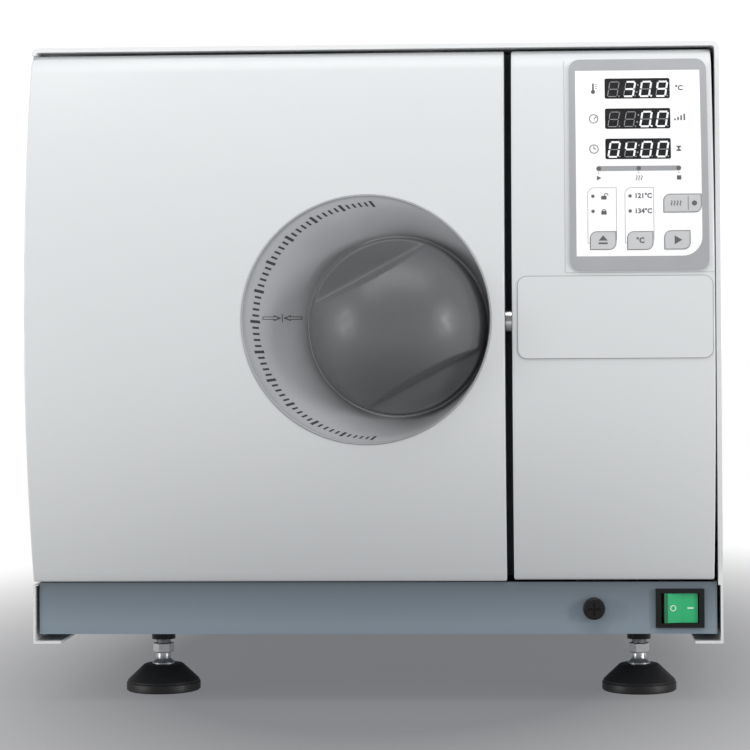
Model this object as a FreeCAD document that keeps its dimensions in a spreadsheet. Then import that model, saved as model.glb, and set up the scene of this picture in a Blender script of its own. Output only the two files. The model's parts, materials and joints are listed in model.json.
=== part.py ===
# Benchtop autoclave: a steam steriliser with a bowed, left-hinged door.
# Millimetres, +Z up. The front faces -Y. The origin is on the bench, under the middle of the machine.
import FreeCAD, Part
import Sketcher
import math
import os
import re

# Driving dimensions: alias, value, meaning. The spreadsheet holds them and every feature is bound to it.
DRIVING = [
    ("front_y", -230, "front lip of the casing"),
    ("casing_half", 225, "half the width over the side walls"),
    ("casing_top", 430, "top of the casing above the bench"),
    ("casing_depth", 500, "front lip to rear edge"),
    ("skirt_low", 39.5, "underside of the return flanges"),
    ("flange_reach", 18, "width of the return flanges"),
    ("sheet_gauge", 1.5, "sheet metal thickness"),
    ("hem_gauge", 3, "thickness of the folded front hem"),
    ("hem_depth", 12, "depth of the folded front hem"),
    ("corner_radius", 5, "outside bend of the casing"),
    ("door_left", -225, "left edge of the door"),
    ("door_right", 85.3, "free edge of the door"),
    ("door_low", 79.8, "lower edge of the door"),
    ("fascia_low", 80.8, "lower edge of the control fascia"),
    ("door_high", 425, "upper edge of door and fascia"),
    ("door_back", 24.5, "depth of the door's edge flanges behind the lip"),
    ("bow_depth", 26, "how far the middle stands proud of the lip"),
    ("bow_radius", 582, "radius of the bowed fronts"),
    ("bow_middle", 253, "height of the bow's crown"),
    ("top_bevel", 6.5, "height of the bevel along the upper edge"),
    ("fascia_left", 90, "left edge of the control fascia"),
    ("fascia_right", 219.5, "right edge of the control fascia"),
    ("chamber_x", -68, "chamber axis"),
    ("chamber_z", 254, "chamber axis height"),
    ("chamber_radius", 125, "inside radius of the pressure vessel"),
    ("vessel_wall", 2.5, "wall of the pressure vessel"),
    ("vessel_rear", 392, "rear end of the vessel behind the lip"),
    ("jacket_radius", 142, "outside radius of the insulation"),
    ("mouth_face", 36, "mouth flange's front face behind the lip"),
    ("mouth_radius", 146, "outside radius of the mouth flange"),
    ("dish_x", -3.6, "middle of the round recess"),
    ("dish_z", 251.2, "height of the middle of the round recess"),
    ("dish_radius", 81, "radius of the round recess"),
    ("dish_floor", 4, "recess floor in front of the lip"),
    ("knob_x", 16.1, "knob axis"),
    ("knob_z", 245.6, "knob axis height"),
    ("knob_radius", 57.5, "radius of the knob"),
    ("knob_proud", 56, "knob's crown in front of the lip"),
    ("pinion_radius", 12, "pitch radius of the latch pinion"),
    ("gear_module", 1.5, "tooth size of pinion and rack"),
    ("bolt_z", 248.7, "latch bolt axis height"),
    ("bolt_back", 8.5, "latch bolt axis behind the lip"),
    ("bolt_radius", 9, "radius of the latch bolt's nose"),
    ("hinge_x", -213, "door hinge axis"),
    ("hinge_back", 14, "door hinge axis behind the lip"),
    ("hinge_low", 150, "middle of the lower hinge"),
    ("hinge_high", 356, "middle of the upper hinge"),
    ("pin_radius", 4, "radius of the hinge pins"),
    ("running_gap", 0.05, "radial play of shafts and pins"),
    ("base_low", 45.5, "underside of the base tray"),
    ("base_front", 2, "front of the base tray behind the lip"),
    ("pad_x", 127.3, "left edge of the keypad overlay"),
    ("pad_right", 216, "right edge of the keypad overlay"),
    ("pad_low", 280.4, "lower edge of the keypad overlay"),
    ("pad_high", 418.1, "upper edge of the keypad overlay"),
    ("overlay_gauge", 1.2, "thickness of the keypad overlay"),
    ("switch_x", 197.2, "middle of the rocker switch"),
    ("switch_z", 62.2, "height of the rocker switch"),
    ("fuse_x", 141.6, "axis of the fuse cap"),
    ("foot_left", -150, "left feet"),
    ("foot_right", 173, "right feet"),
    ("foot_front", 65, "front feet behind the lip"),
    ("foot_rear", 420, "rear feet behind the lip"),
    ("foot_radius", 25, "radius of the foot pads"),
    ("stud_radius", 4, "radius of the threaded studs"),
    ("tank_left", 100, "left side of the water tank"),
    ("tank_right", 212, "right side of the water tank"),
    ("tank_front", 250, "front of the water tank behind the lip"),
    ("tank_rear", 440, "rear of the water tank behind the lip"),
    ("tank_low", 230, "underside of the water tank"),
    ("panel_back", 494, "rear panel behind the lip"),
    ("panel_inset", 3.2, "edges of rear panel and bulkhead inside the casing's faces"),
    ("plate_left", 93.8, "left edge of the blank plate"),
    ("plate_right", 217.9, "right edge of the blank plate"),
    ("plate_low", 224.7, "lower edge of the blank plate"),
    ("plate_high", 277, "upper edge of the blank plate"),
    ("display_left", 150.6, "left edge of the displays"),
    ("display_right", 192.3, "right edge of the displays"),
    ("display_half", 6.6, "half the height of a display"),
    ("rack_front", 60, "front of the tray rack behind the lip"),
    ("rack_rear", 350, "rear of the tray rack behind the lip"),
    ("rack_half", 87.5, "half the width of the tray rack"),
    ("tray_half", 84, "half the width of a tray"),
    ("tank_wall", 2.5, "wall of the water tank"),
    ("lid_x", 156, "middle of the filler lid"),
    ("lid_pin_height", 3, "height of the lid's pin above the casing"),
    ("fan_x", 156, "fan axis"),
    ("fan_z", 150, "fan axis height"),
    ("fan_half", 45, "half the side of the fan's square frame"),
    ("fan_opening", 42, "radius of the fan's tunnel"),
    ("inlet_x", 156, "middle of the mains inlet"),
    ("inlet_z", 74, "height of the mains inlet"),
    ("filter_x", -150, "air filter axis"),
    ("filter_z", 380, "air filter axis height"),
    ("drain_x", -180, "axis of the first drain fitting"),
    ("drain_z", 80, "height of the drain fittings"),
    ("drain_pitch", 40, "distance between the drain fittings"),
    ("boss_radius", 8, "outside radius of the foot bosses"),
]
ALIASES = {alias for alias, value, meaning in DRIVING}

doc = FreeCAD.newDocument("BenchtopAutoclave")
sheet = doc.addObject("Spreadsheet::Sheet", "Sizes")
for row, (alias, value, meaning) in enumerate(DRIVING, start=1):
    sheet.set("A%d" % row, meaning)
    sheet.set("B%d" % row, str(value))
    sheet.setAlias("B%d" % row, alias)
doc.recompute()
nodes = []


# ---- Helpers: expressions, sketches and common shapes ----

def bound(text):
    """The expression with each alias pointed at the spreadsheet."""
    def point(match):
        word = match.group(0)
        return "Sizes." + word if word in ALIASES else word
    return re.sub(r"[a-z][a-z_]+", point, str(text))


def amount(text):
    """The value of an expression now."""
    return float(sheet.evalExpression(bound(text)))


def keep(item, name):
    """Mark an object as a finished sub-part, exported under this name."""
    item.Label = name
    nodes.append(item)
    return item


def place(item, x="0", y="0", z="0"):
    """Bind an object's position to expressions."""
    for axis, text in zip("xyz", (x, y, z)):
        item.setExpression(".Placement.Base." + axis, bound(text))
    return item


def block(name, x, y, z):
    """A block from three (low, high) pairs of expressions."""
    item = doc.addObject("Part::Box", name)
    for side, (low, high) in zip(("Length", "Width", "Height"), (x, y, z)):
        item.setExpression(side, bound("(%s) - (%s)" % (high, low)))
    return place(item, x[0], y[0], z[0])


TURNS = {
    "up": FreeCAD.Rotation(),
    "front": FreeCAD.Rotation(FreeCAD.Vector(1, 0, 0), 90),
    "back": FreeCAD.Rotation(FreeCAD.Vector(1, 0, 0), -90),
    "right": FreeCAD.Rotation(FreeCAD.Vector(0, 1, 0), 90),
    "left": FreeCAD.Rotation(FreeCAD.Vector(0, 1, 0), -90),
}


def bar(name, radius, length, x, y, z, facing="up"):
    """A round bar that starts at a point and runs the way it faces."""
    item = doc.addObject("Part::Cylinder", name)
    item.setExpression("Radius", bound(radius))
    item.setExpression("Height", bound(length))
    item.Placement.Rotation = TURNS[facing]
    return place(item, x, y, z)


def cut(name, base, *tools):
    """Base less the tools."""
    item = doc.addObject("Part::Cut", name)
    item.Base = base
    item.Tool = tools[0] if len(tools) == 1 else join(name + "_tools", *tools)
    return item


def join(name, *pieces):
    """One solid from pieces that touch or overlap."""
    item = doc.addObject("Part::MultiFuse", name)
    item.Shapes = list(pieces)
    item.Refine = True
    return item


def common(name, first, second):
    """What two shapes share."""
    item = doc.addObject("Part::Common", name)
    item.Base = first
    item.Tool = second
    return item


def group(name, pieces):
    """Separate solids kept in one node."""
    item = doc.addObject("Part::Compound", name)
    item.Links = pieces
    return item


def plane_of(body, role):
    return [feature for feature in body.Origin.OriginFeatures if feature.Role == role][0]


def edge_between(start, end, radius):
    """A straight side, or an arc: counter-clockwise if the radius is positive, clockwise if negative."""
    if not radius:
        return Part.LineSegment(start, end), 1, 2
    chord = end - start
    rise = math.sqrt(radius ** 2 - chord.Length ** 2 / 4)
    normal = FreeCAD.Vector(-chord.y, chord.x, 0).normalize()
    centre = (start + end) * 0.5 + normal * math.copysign(rise, radius)
    angles = [math.atan2(point.y - centre.y, point.x - centre.x) for point in (start, end)]
    circle = Part.Circle(centre, FreeCAD.Vector(0, 0, 1), abs(radius))
    if radius > 0:
        return Part.ArcOfCircle(circle, angles[0], angles[1]), 1, 2
    return Part.ArcOfCircle(circle, angles[1], angles[0]), 2, 1


def outline(body, name, plane, corners, offset="0"):
    """A closed sketch. A corner is (across, up) or (across, up, radius of the side that follows it)."""
    sketch = body.newObject("Sketcher::SketchObject", name)
    sketch.AttachmentSupport = [(plane_of(body, plane + "_Plane"), "")]
    sketch.MapMode = "FlatFace"
    sketch.setExpression("AttachmentOffset.Base.z", bound(offset))
    points = [FreeCAD.Vector(amount(corner[0]), amount(corner[1]), 0) for corner in corners]
    ends = []
    for index, corner in enumerate(corners):
        radius = amount(corner[2]) if len(corner) > 2 else 0
        edge, first, last = edge_between(points[index], points[(index + 1) % len(corners)], radius)
        sketch.addGeometry(edge, False)
        ends.append((first, last))
    for index, corner in enumerate(corners):
        first = ends[index][0]
        before = (index - 1) % len(corners)
        sketch.addConstraint(Sketcher.Constraint("Coincident", before, ends[before][1], index, first))
        spots = (("DistanceX", points[index].x, corner[0]), ("DistanceY", points[index].y, corner[1]))
        for kind, value, text in spots:
            number = sketch.addConstraint(Sketcher.Constraint(kind, -1, 1, index, first, value))
            label = "corner_%d_%s" % (index, kind[-1].lower())
            sketch.renameConstraint(number, label)
            sketch.setExpression("Constraints." + label, bound(text))
        if len(corner) > 2:
            radius = abs(amount(corner[2]))
            number = sketch.addConstraint(Sketcher.Constraint("Radius", index, radius))
            sketch.renameConstraint(number, "bend_%d" % index)
            sketch.setExpression("Constraints.bend_%d" % index, bound("abs(%s)" % corner[2]))
    return sketch


def prism(name, plane, corners, start, length, reverse=False):
    """An outline padded along its plane's normal, or against it."""
    body = doc.addObject("PartDesign::Body", name)
    sketch = outline(body, name + "_outline", plane, corners, start)
    feature = body.newObject("PartDesign::Pad", name + "_pad")
    feature.Profile = sketch
    feature.setExpression("Length", bound(length))
    feature.Reversed = reverse
    return body


def front_prism(name, corners, front, back):
    """An outline in X and Z, padded from one depth behind the lip to another."""
    start = "-(front_y + %s)" % front
    return prism(name, "XZ", corners, start, "(%s) - (%s)" % (back, front), reverse=True)


def side_prism(name, corners, left, right):
    """An outline in Y and Z, padded from left to right."""
    return prism(name, "YZ", corners, left, "(%s) - (%s)" % (right, left))


def turned(name, corners, x, y, z, facing="up"):
    """A round piece: an outline of (radius, height) turned about its own axis, then set in place."""
    body = doc.addObject("PartDesign::Body", name)
    sketch = outline(body, name + "_outline", "XZ", corners)
    feature = body.newObject("PartDesign::Revolution", name + "_turn")
    feature.Profile = sketch
    feature.ReferenceAxis = (sketch, ["V_Axis"])
    feature.Angle = 360
    body.Placement.Rotation = TURNS[facing]
    return place(body, x, y, z)


def rounded(left, low, right, high, radius):
    """Corners of an upright rectangle with all four corners rounded."""
    r = "(%s)" % radius
    return [
        ("%s + %s" % (left, r), low),
        ("%s - %s" % (right, r), low, r),
        (right, "%s + %s" % (low, r)),
        (right, "%s - %s" % (high, r), r),
        ("%s - %s" % (right, r), high),
        ("%s + %s" % (left, r), high, r),
        (left, "%s - %s" % (high, r)),
        (left, "%s + %s" % (low, r), r),
    ]


def leaf(left, low, right, high, radius):
    """Corners of a key that is round at its upper left and lower right only."""
    r = "(%s)" % radius
    return [
        (left, low),
        ("%s - %s" % (right, r), low, r),
        (right, "%s + %s" % (low, r)),
        (right, high),
        ("%s + %s" % (left, r), high, r),
        (left, "%s - %s" % (high, r)),
    ]


def bow_y(z, grow="0"):
    """Depth of the bowed front at a height, with the surface grown outwards."""
    return "front_y - bow_depth + bow_radius - sqrt((bow_radius + %s)^2 - ((%s) - bow_middle)^2)" % (grow, z)


def bowed(name, left, right, low, high, grow="0", back="door_back"):
    """A solid with a bowed front, a bevelled upper edge and a flat back."""
    turn_z = "%s - top_bevel" % high
    corners = [
        ("front_y + %s" % back, low),
        (bow_y(low, grow), low, "-(bow_radius + %s)" % grow),
        (bow_y(turn_z, grow), turn_z),
        ("%s + top_bevel" % bow_y(turn_z, grow), high),
        ("front_y + %s" % back, high),
    ]
    return side_prism(name, corners, left, right)


def layer(name, corners, left, right, low, high, inner, outer):
    """A thin piece on the bowed front: an upright outline, between two growths of the bow."""
    sheet_corners = [
        (bow_y(low, inner), low),
        (bow_y(low, outer), low, "-(bow_radius + %s)" % outer),
        (bow_y(high, outer), high),
        (bow_y(high, inner), high, "bow_radius + %s" % inner),
    ]
    curved = side_prism(name + "_curved", sheet_corners, left, right)
    upright = front_prism(name + "_upright", corners, "-bow_depth - 20", "0")
    return common(name, upright, curved)


# ---- Cabinet ----

def make_casing():
    """Inverted U of painted sheet with a folded front hem and inward flanges under the sides."""
    def profile(gauge):
        side = "casing_half"
        top = "casing_top"
        inner = "(corner_radius - %s)" % gauge
        return [
            ("-%s + flange_reach" % side, "skirt_low"),
            ("-%s + flange_reach" % side, "skirt_low + %s" % gauge),
            ("-%s + %s" % (side, gauge), "skirt_low + %s" % gauge),
            ("-%s + %s" % (side, gauge), "%s - corner_radius" % top, "-%s" % inner),
            ("-%s + corner_radius" % side, "%s - %s" % (top, gauge)),
            ("%s - corner_radius" % side, "%s - %s" % (top, gauge), "-%s" % inner),
            ("%s - %s" % (side, gauge), "%s - corner_radius" % top),
            ("%s - %s" % (side, gauge), "skirt_low + %s" % gauge),
            ("%s - flange_reach" % side, "skirt_low + %s" % gauge),
            ("%s - flange_reach" % side, "skirt_low"),
            (side, "skirt_low"),
            (side, "%s - corner_radius" % top, "corner_radius"),
            ("%s - corner_radius" % side, top),
            ("-%s + corner_radius" % side, top, "corner_radius"),
            ("-%s" % side, "%s - corner_radius" % top),
            ("-%s" % side, "skirt_low"),
        ]
    skin = front_prism("casing_skin", profile("sheet_gauge"), "0", "casing_depth")
    hem = front_prism("casing_hem", profile("hem_gauge"), "0", "hem_depth")
    shell = join("casing_shell", skin, hem)
    door_room = block("casing_door_room", ("-casing_half - 1", "-casing_half + 4"),
                      ("front_y - 1", "front_y + 34"), ("door_low - 2", "casing_top - 5"))
    low_room = block("casing_low_room", ("-casing_half + sheet_gauge", "casing_half - sheet_gauge"),
                     ("front_y - 1", "front_y + hem_depth + 1"), ("skirt_low + sheet_gauge", "door_low - 2.5"))
    tank_mouth = block("casing_tank_mouth", ("tank_left + 18", "tank_right - 18"),
                       ("front_y + tank_front + 40", "front_y + tank_rear - 40"),
                       ("casing_top - 10", "casing_top + 10"))
    keep(cut("casing_cut", shell, door_room, low_room, tank_mouth), "casing")


def make_base_tray():
    """Folded tray: floor, front strip and low side walls, with holes for switch, fuse and studs."""
    half = "casing_half - 3.8"
    outer = block("tray_outer", ("-(%s)" % half, half), ("front_y + base_front", "front_y + panel_back - 1"),
                  ("base_low", "door_low - 0.6"))
    inner = block("tray_inner", ("-(%s) + sheet_gauge" % half, "%s - sheet_gauge" % half),
                  ("front_y + base_front + sheet_gauge", "front_y + panel_back + 5"),
                  ("base_low + sheet_gauge", "door_low + 20"))
    switch_hole = block("tray_switch_hole", ("switch_x - 13.6", "switch_x + 13.6"),
                        ("front_y - 5", "front_y + 10"), ("switch_z - 11.1", "switch_z + 11.1"))
    fuse_hole = bar("tray_fuse_hole", "6.1", "20", "fuse_x", "front_y - 5", "switch_z", "back")
    studs = []
    for side in ("left", "right"):
        for end in ("front", "rear"):
            studs.append(bar("tray_stud_%s_%s" % (side, end), "stud_radius + 2.5", "20",
                             "foot_%s" % side, "front_y + foot_%s" % end, "base_low - 10"))
    keep(cut("tray_cut", outer, inner, switch_hole, fuse_hole, *studs), "base_tray")


def make_screws():
    """Pan-head screws that hold the casing's sides to the frame."""
    screws = []
    for side, facing in ((-1, "left"), (1, "right")):
        for depth in ("60", "250", "470"):
            for height in ("62", "400"):
                name = "casing_screw_%d" % len(screws)
                corners = [("0", "0"), ("6", "0"), ("6", "1"), ("4.2", "2.5"), ("0", "2.5")]
                screws.append(turned(name, corners, "%d * casing_half" % side, "front_y + %s" % depth, height,
                                     facing))
    keep(group("casing_screw_set", screws), "casing_screws")


def make_rear_panel():
    """Recessed rear sheet with openings for the fan, the mains inlet, the filter and the drains."""
    plate = block("rear_plate", ("-casing_half + panel_inset", "casing_half - panel_inset"),
                  ("front_y + panel_back", "front_y + panel_back + sheet_gauge"), ("skirt_low + 2",
                                                                                   "casing_top - panel_inset"))
    holes = [bar("rear_fan_hole", "fan_opening - 1", "20", "fan_x", "front_y + panel_back - 5", "fan_z",
                 "back"),
             block("rear_inlet_hole", ("inlet_x - 14", "inlet_x + 14"),
                   ("front_y + panel_back - 5", "front_y + panel_back + 5"),
                   ("inlet_z - 12", "inlet_z + 12")),
             bar("rear_filter_hole", "10.2", "20", "filter_x", "front_y + panel_back - 5", "filter_z", "back")]
    for index in range(2):
        holes.append(bar("rear_drain_hole_%d" % index, "5.2", "20", "drain_x + drain_pitch * %d" % index,
                         "front_y + panel_back - 5", "drain_z", "back"))
    for index in range(9):
        x = -60 + 14 * index
        holes.append(block("rear_louvre_%d" % index, ("%d" % x, "%d" % (x + 5)),
                           ("front_y + panel_back - 5", "front_y + panel_back + 5"), ("340", "400")))
    keep(cut("rear_cut", plate, *holes), "rear_panel")


def make_bulkhead():
    """Front frame plate that carries the chamber's mouth and the door hinge."""
    plate = block("bulkhead_plate", ("-casing_half + panel_inset", "casing_half - panel_inset"),
                  ("front_y + mouth_face + 2", "front_y + mouth_face + 4"), ("door_low",
                                                                             "casing_top - panel_inset"))
    mouth = bar("bulkhead_mouth", "mouth_radius + 0.1", "20", "chamber_x", "front_y + mouth_face - 5",
                "chamber_z", "back")
    keep(cut("bulkhead_cut", plate, mouth), "front_bulkhead")


# ---- Chamber ----

def make_chamber():
    """Pressure vessel with a dished rear end, mouth flange, heater, insulation and saddles."""
    inner = "chamber_radius"
    outer = "chamber_radius + vessel_wall"
    length = "vessel_rear - mouth_face"
    centre = ("chamber_x", "front_y + mouth_face", "chamber_z", "back")
    knuckle = "30"
    corners = [
        (inner, "0"), (outer, "0"), (outer, "%s - %s" % (length, knuckle), knuckle),
        ("%s - %s" % (outer, knuckle), length), ("0", length), ("0", "%s - vessel_wall" % length),
        ("%s - %s" % (outer, knuckle), "%s - vessel_wall" % length, "-(%s - vessel_wall)" % knuckle),
        (inner, "%s - %s" % (length, knuckle)),
    ]
    keep(turned("vessel", corners, *centre), "chamber_vessel")
    flange = [(outer, "0"), ("mouth_radius", "0"), ("mouth_radius", "12"), (outer, "12")]
    keep(turned("flange", flange, *centre), "chamber_flange")
    band = [(outer, "170"), ("chamber_radius + 6", "170"), ("chamber_radius + 6", "230"), (outer, "230")]
    keep(turned("band", band, *centre), "heater_band")
    jacket = [("chamber_radius + 6.2", "20"), ("jacket_radius", "20"), ("jacket_radius", "%s - 34" % length),
              ("chamber_radius + 6.2", "%s - 34" % length)]
    keep(turned("jacket", jacket, *centre), "insulation_jacket")
    saddles = []
    for index, depth in enumerate((110, 330)):
        foot = block("saddle_foot_%d" % index, ("chamber_x - 80", "chamber_x + 80"),
                     ("front_y + %d" % depth, "front_y + %d" % (depth + 20)),
                     ("base_low + sheet_gauge", "chamber_z - 110"))
        hollow = bar("saddle_hollow_%d" % index, "jacket_radius + 0.3", "60", "chamber_x",
                     "front_y + %d" % (depth - 20), "chamber_z", "back")
        saddles.append(cut("saddle_%d" % index, foot, hollow))
    keep(group("saddle_set", saddles), "chamber_saddles")


TRAY_LEVELS = (-60, -10, 40)


def make_trays():
    """Rack of two side plates with ledges, holding three shallow trays."""
    pieces = []
    for side, name in ((-1, "left"), (1, "right")):
        near, far = sorted(("%d * rack_half" % side, "%d * (rack_half - sheet_gauge)" % side), key=amount)
        pieces.append(block("rack_%s" % name, ("chamber_x + %s" % near, "chamber_x + %s" % far),
                            ("front_y + rack_front", "front_y + rack_rear"), ("chamber_z - 78",
                                                                              "chamber_z + 66")))
        near, far = sorted(("%d * (rack_half - 0.5)" % side, "%d * (tray_half - 6)" % side), key=amount)
        for level in TRAY_LEVELS:
            pieces.append(block("rack_ledge_%s_%d" % (name, level + 100),
                                ("chamber_x + %s" % near, "chamber_x + %s" % far),
                                ("front_y + rack_front", "front_y + rack_rear"),
                                ("chamber_z + %d" % (level - 1), "chamber_z + %d" % level)))
    for depth in (70, 330):
        pieces.append(block("rack_tie_%d" % depth, ("chamber_x - 87", "chamber_x + 87"),
                            ("front_y + %d" % depth, "front_y + %d" % (depth + 12)),
                            ("chamber_z - 78", "chamber_z - 76.5")))
    keep(join("rack", *pieces), "tray_rack")
    trays = []
    for number, level in enumerate(TRAY_LEVELS, start=1):
        low = "chamber_z + %s" % (level + 0.1)
        shell = block("tray_shell_%d" % number, ("chamber_x - tray_half", "chamber_x + tray_half"),
                      ("front_y + rack_front + 2", "front_y + rack_rear - 2"), (low, low + " + 14"))
        hollow = block("tray_hollow_%d" % number, ("chamber_x - tray_half + 1", "chamber_x + tray_half - 1"),
                       ("front_y + rack_front + 3", "front_y + rack_rear - 3"), (low + " + 1", low + " + 20"))
        trays.append(cut("tray_%d" % number, shell, hollow))
    keep(group("tray_set", trays), "trays")


# ---- Door ----

HINGES = (("low", "hinge_low"), ("high", "hinge_high"))


def make_door_cover():
    """Bowed sheet cover, open at the back, with the recess hole, the bolt hole and hinge notches."""
    solid = bowed("cover_outer", "door_left", "door_right", "door_low", "door_high")
    hollow = bowed("cover_inner", "door_left + sheet_gauge", "door_right - sheet_gauge",
                   "door_low + sheet_gauge", "door_high - sheet_gauge", "-sheet_gauge", "door_back + 10")
    dish = bar("cover_dish_hole", "dish_radius", "40", "dish_x", "front_y - 40", "dish_z", "back")
    bolt = bar("cover_bolt_hole", "bolt_radius + 0.8", "20", "door_right - 10", "front_y + bolt_back", "bolt_z",
               "right")
    notches = []
    for name, height in HINGES:
        notches.append(block("cover_notch_%s" % name, ("door_left - 1", "door_left + 4"),
                             ("front_y - 5", "front_y + 30"), (height + " - 18", height + " + 18")))
    keep(cut("cover_cut", solid, hollow, dish, bolt, *notches), "door_cover")


def make_dish():
    """Round scooped recess behind the knob: shallow on its left, steep on its right."""
    rings = {}
    for name, grow in (("inside", "0"), ("outside", "2.2")):
        ends = []
        for spot, x, z, radius, depth in (("rim", "dish_x", "dish_z", "dish_radius - 0.6", "-bow_depth - 1"),
                                          ("floor", "knob_x", "knob_z", "knob_radius + 1.5", "-dish_floor")):
            ring = doc.addObject("Part::Circle", "dish_%s_%s" % (name, spot))
            ring.setExpression("Radius", bound("%s + %s" % (radius, grow)))
            ring.Placement.Rotation = TURNS["front"]
            sink = "2" if (name, spot) == ("outside", "floor") else "0"
            place(ring, x, "front_y + %s + %s" % (depth, sink), z)
            ends.append(ring)
        loft = doc.addObject("Part::Loft", "dish_%s" % name)
        loft.Sections = ends
        loft.Solid = True
        rings[name] = loft
    room = bar("dish_room", "dish_radius - 0.3", "60", "dish_x", "front_y - 40", "dish_z", "back")
    face = bowed("dish_face", "dish_x - dish_radius - 5", "dish_x + dish_radius + 5", "door_low", "door_high")
    body = common("dish_body", common("dish_round", rings["outside"], room), face)
    shaft = bar("dish_shaft_hole", "8.3", "20", "knob_x", "front_y - 10", "knob_z", "back")
    keep(cut("dish_cut", body, rings["inside"], shaft), "handle_recess")


def make_door_frame():
    """Inner plate, hinge stile with its knuckles, crossbar, pressure plate and seal."""
    plate = block("inner_plate_sheet", ("-198", "door_right - 2"), ("front_y + 24.2", "front_y + 25.7"),
                  ("door_low + 2", "door_high - 2"))
    hub_hole = bar("inner_plate_hole", "22.3", "10", "chamber_x", "front_y + 20", "chamber_z", "back")
    keep(cut("inner_plate_cut", plate, hub_hole), "door_inner_plate")

    strip = block("stile_strip", ("-206", "-185"), ("front_y + 18", "front_y + 24"), ("134", "372"))
    knuckles = []
    bores = []
    for name, height in HINGES:
        knuckles.append(bar("stile_knuckle_" + name, "7", "15.4", "hinge_x", "front_y + hinge_back",
                            height + " - 7.7"))
        knuckles.append(block("stile_web_" + name, ("hinge_x", "-195"),
                              ("front_y + hinge_back", "front_y + 21"),
                              (height + " - 7.7", height + " + 7.7")))
        bores.append(bar("stile_bore_" + name, "pin_radius + running_gap", "60", "hinge_x",
                         "front_y + hinge_back",
                         height + " - 30"))
        bores.append(block("stile_relief_" + name, ("-207", "-201"), ("front_y + 10", "front_y + 30"),
                           (height + " + 7.7", height + " + 18")))
        bores.append(block("stile_relief_low_" + name, ("-207", "-201"), ("front_y + 10", "front_y + 30"),
                           (height + " - 18", height + " - 7.7")))
    keep(cut("stile_cut", join("stile_body", strip, *knuckles), *bores), "hinge_stile")

    beam = block("crossbar_beam", ("-184.8", "70"), ("front_y + 18", "front_y + 24"),
                 ("chamber_z - 30", "chamber_z + 30"))
    shaft_hole = bar("crossbar_shaft_hole", "6 + running_gap", "20", "knob_x", "front_y + 10", "knob_z", "back")
    keep(cut("crossbar_cut", beam, shaft_hole), "door_crossbar")

    disc = [("0", "0"), ("22", "0"), ("22", "2"), ("131", "2"), ("131", "10"), ("129.7", "10"), ("129.7", "7"),
            ("122.3", "7"), ("122.3", "10"), ("0", "10")]
    keep(turned("plate_disc", disc, "chamber_x", "front_y + 24", "chamber_z", "back"), "pressure_plate")
    ring = [("122.5", "0"), ("129.5", "0"), ("129.5", "3.6"), ("127.5", "4.6"), ("124.5", "4.6"),
            ("122.5", "3.6")]
    keep(turned("seal_ring", ring, "chamber_x", "front_y + 31", "chamber_z", "back"), "door_seal")


def make_hinge():
    """Bulkhead brackets with two lugs at each hinge, and their pins."""
    brackets = []
    pins = []
    for name, height in HINGES:
        foot = block("bracket_foot_" + name, ("-220", "-200"),
                     ("front_y + mouth_face - 2", "front_y + mouth_face + 2"),
                     (height + " - 16", height + " + 16"))
        parts = [foot]
        for spot, low, high in (("lower", " - 16", " - 8"), ("upper", " + 8", " + 16")):
            parts.append(block("lug_%s_%s" % (name, spot), ("-217.5", "-208.5"),
                               ("front_y + hinge_back", "front_y + mouth_face"), (height + low, height + high)))
            parts.append(bar("lug_eye_%s_%s" % (name, spot), "7", "8", "hinge_x", "front_y + hinge_back",
                             height + low))
        bore = bar("bracket_bore_" + name, "pin_radius + running_gap", "40", "hinge_x", "front_y + hinge_back",
                   height + " - 20")
        brackets.append(cut("bracket_" + name, join("bracket_body_" + name, *parts), bore))
        pin = [("0", "0"), ("pin_radius", "0"), ("pin_radius", "33"), ("6", "33"), ("6", "35"), ("0", "35")]
        pins.append(turned("pin_" + name, pin, "hinge_x", "front_y + hinge_back", height + " - 16.8"))
    keep(group("bracket_set", brackets), "hinge_brackets")
    keep(group("pin_set", pins), "hinge_pins")


# ---- Latch: knob, shaft, pinion, bolt and keeper ----

def tooth_flank():
    """One flank of a pinion tooth as an involute, from the root to the tip, at the pitch line's spacing."""
    module = amount("gear_module")
    pitch = amount("pinion_radius")
    pressure = math.radians(20)
    base = pitch * math.cos(pressure)
    tip = pitch + 0.9 * module
    play = 0.12
    half_tooth = (math.pi * module / 4 - play / 2) / pitch
    involute = math.tan(pressure) - pressure
    points = []
    for step in range(6):
        radius = base + (tip - base) * step / 5
        lean = math.acos(base / radius)
        angle = half_tooth + involute - (math.tan(lean) - lean)
        points.append((radius, angle))
    return points


def make_pinion():
    """Sixteen-tooth pinion on the knob's shaft, with involute flanks."""
    module = amount("gear_module")
    pitch = amount("pinion_radius")
    count = round(2 * pitch / module)
    root = pitch - 1.25 * module
    flank = tooth_flank()
    corners = []
    for tooth in range(count):
        middle = math.pi / 2 + 2 * math.pi * tooth / count
        first_angle = flank[0][1]
        corners.append((root, middle - first_angle))
        corners.extend((radius, middle - angle) for radius, angle in flank)
        corners.extend((radius, middle + angle) for radius, angle in reversed(flank))
        corners.append((root, middle + first_angle))
    points = [FreeCAD.Vector(radius * math.cos(angle), 0, radius * math.sin(angle)) for radius,
              angle in corners]
    face = Part.Face(Part.makePolygon(points + points[:1]))
    wheel = face.extrude(FreeCAD.Vector(0, 8, 0))
    bore = Part.makeCylinder(6.02, 8, FreeCAD.Vector(), FreeCAD.Vector(0, 1, 0))
    item = doc.addObject("Part::Feature", "pinion_wheel")
    item.Shape = wheel.cut(bore)
    item.Placement = FreeCAD.Placement(
        FreeCAD.Vector(amount("knob_x"), amount("front_y") + 4.5, amount("knob_z")), FreeCAD.Rotation())
    keep(item, "latch_pinion")


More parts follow.
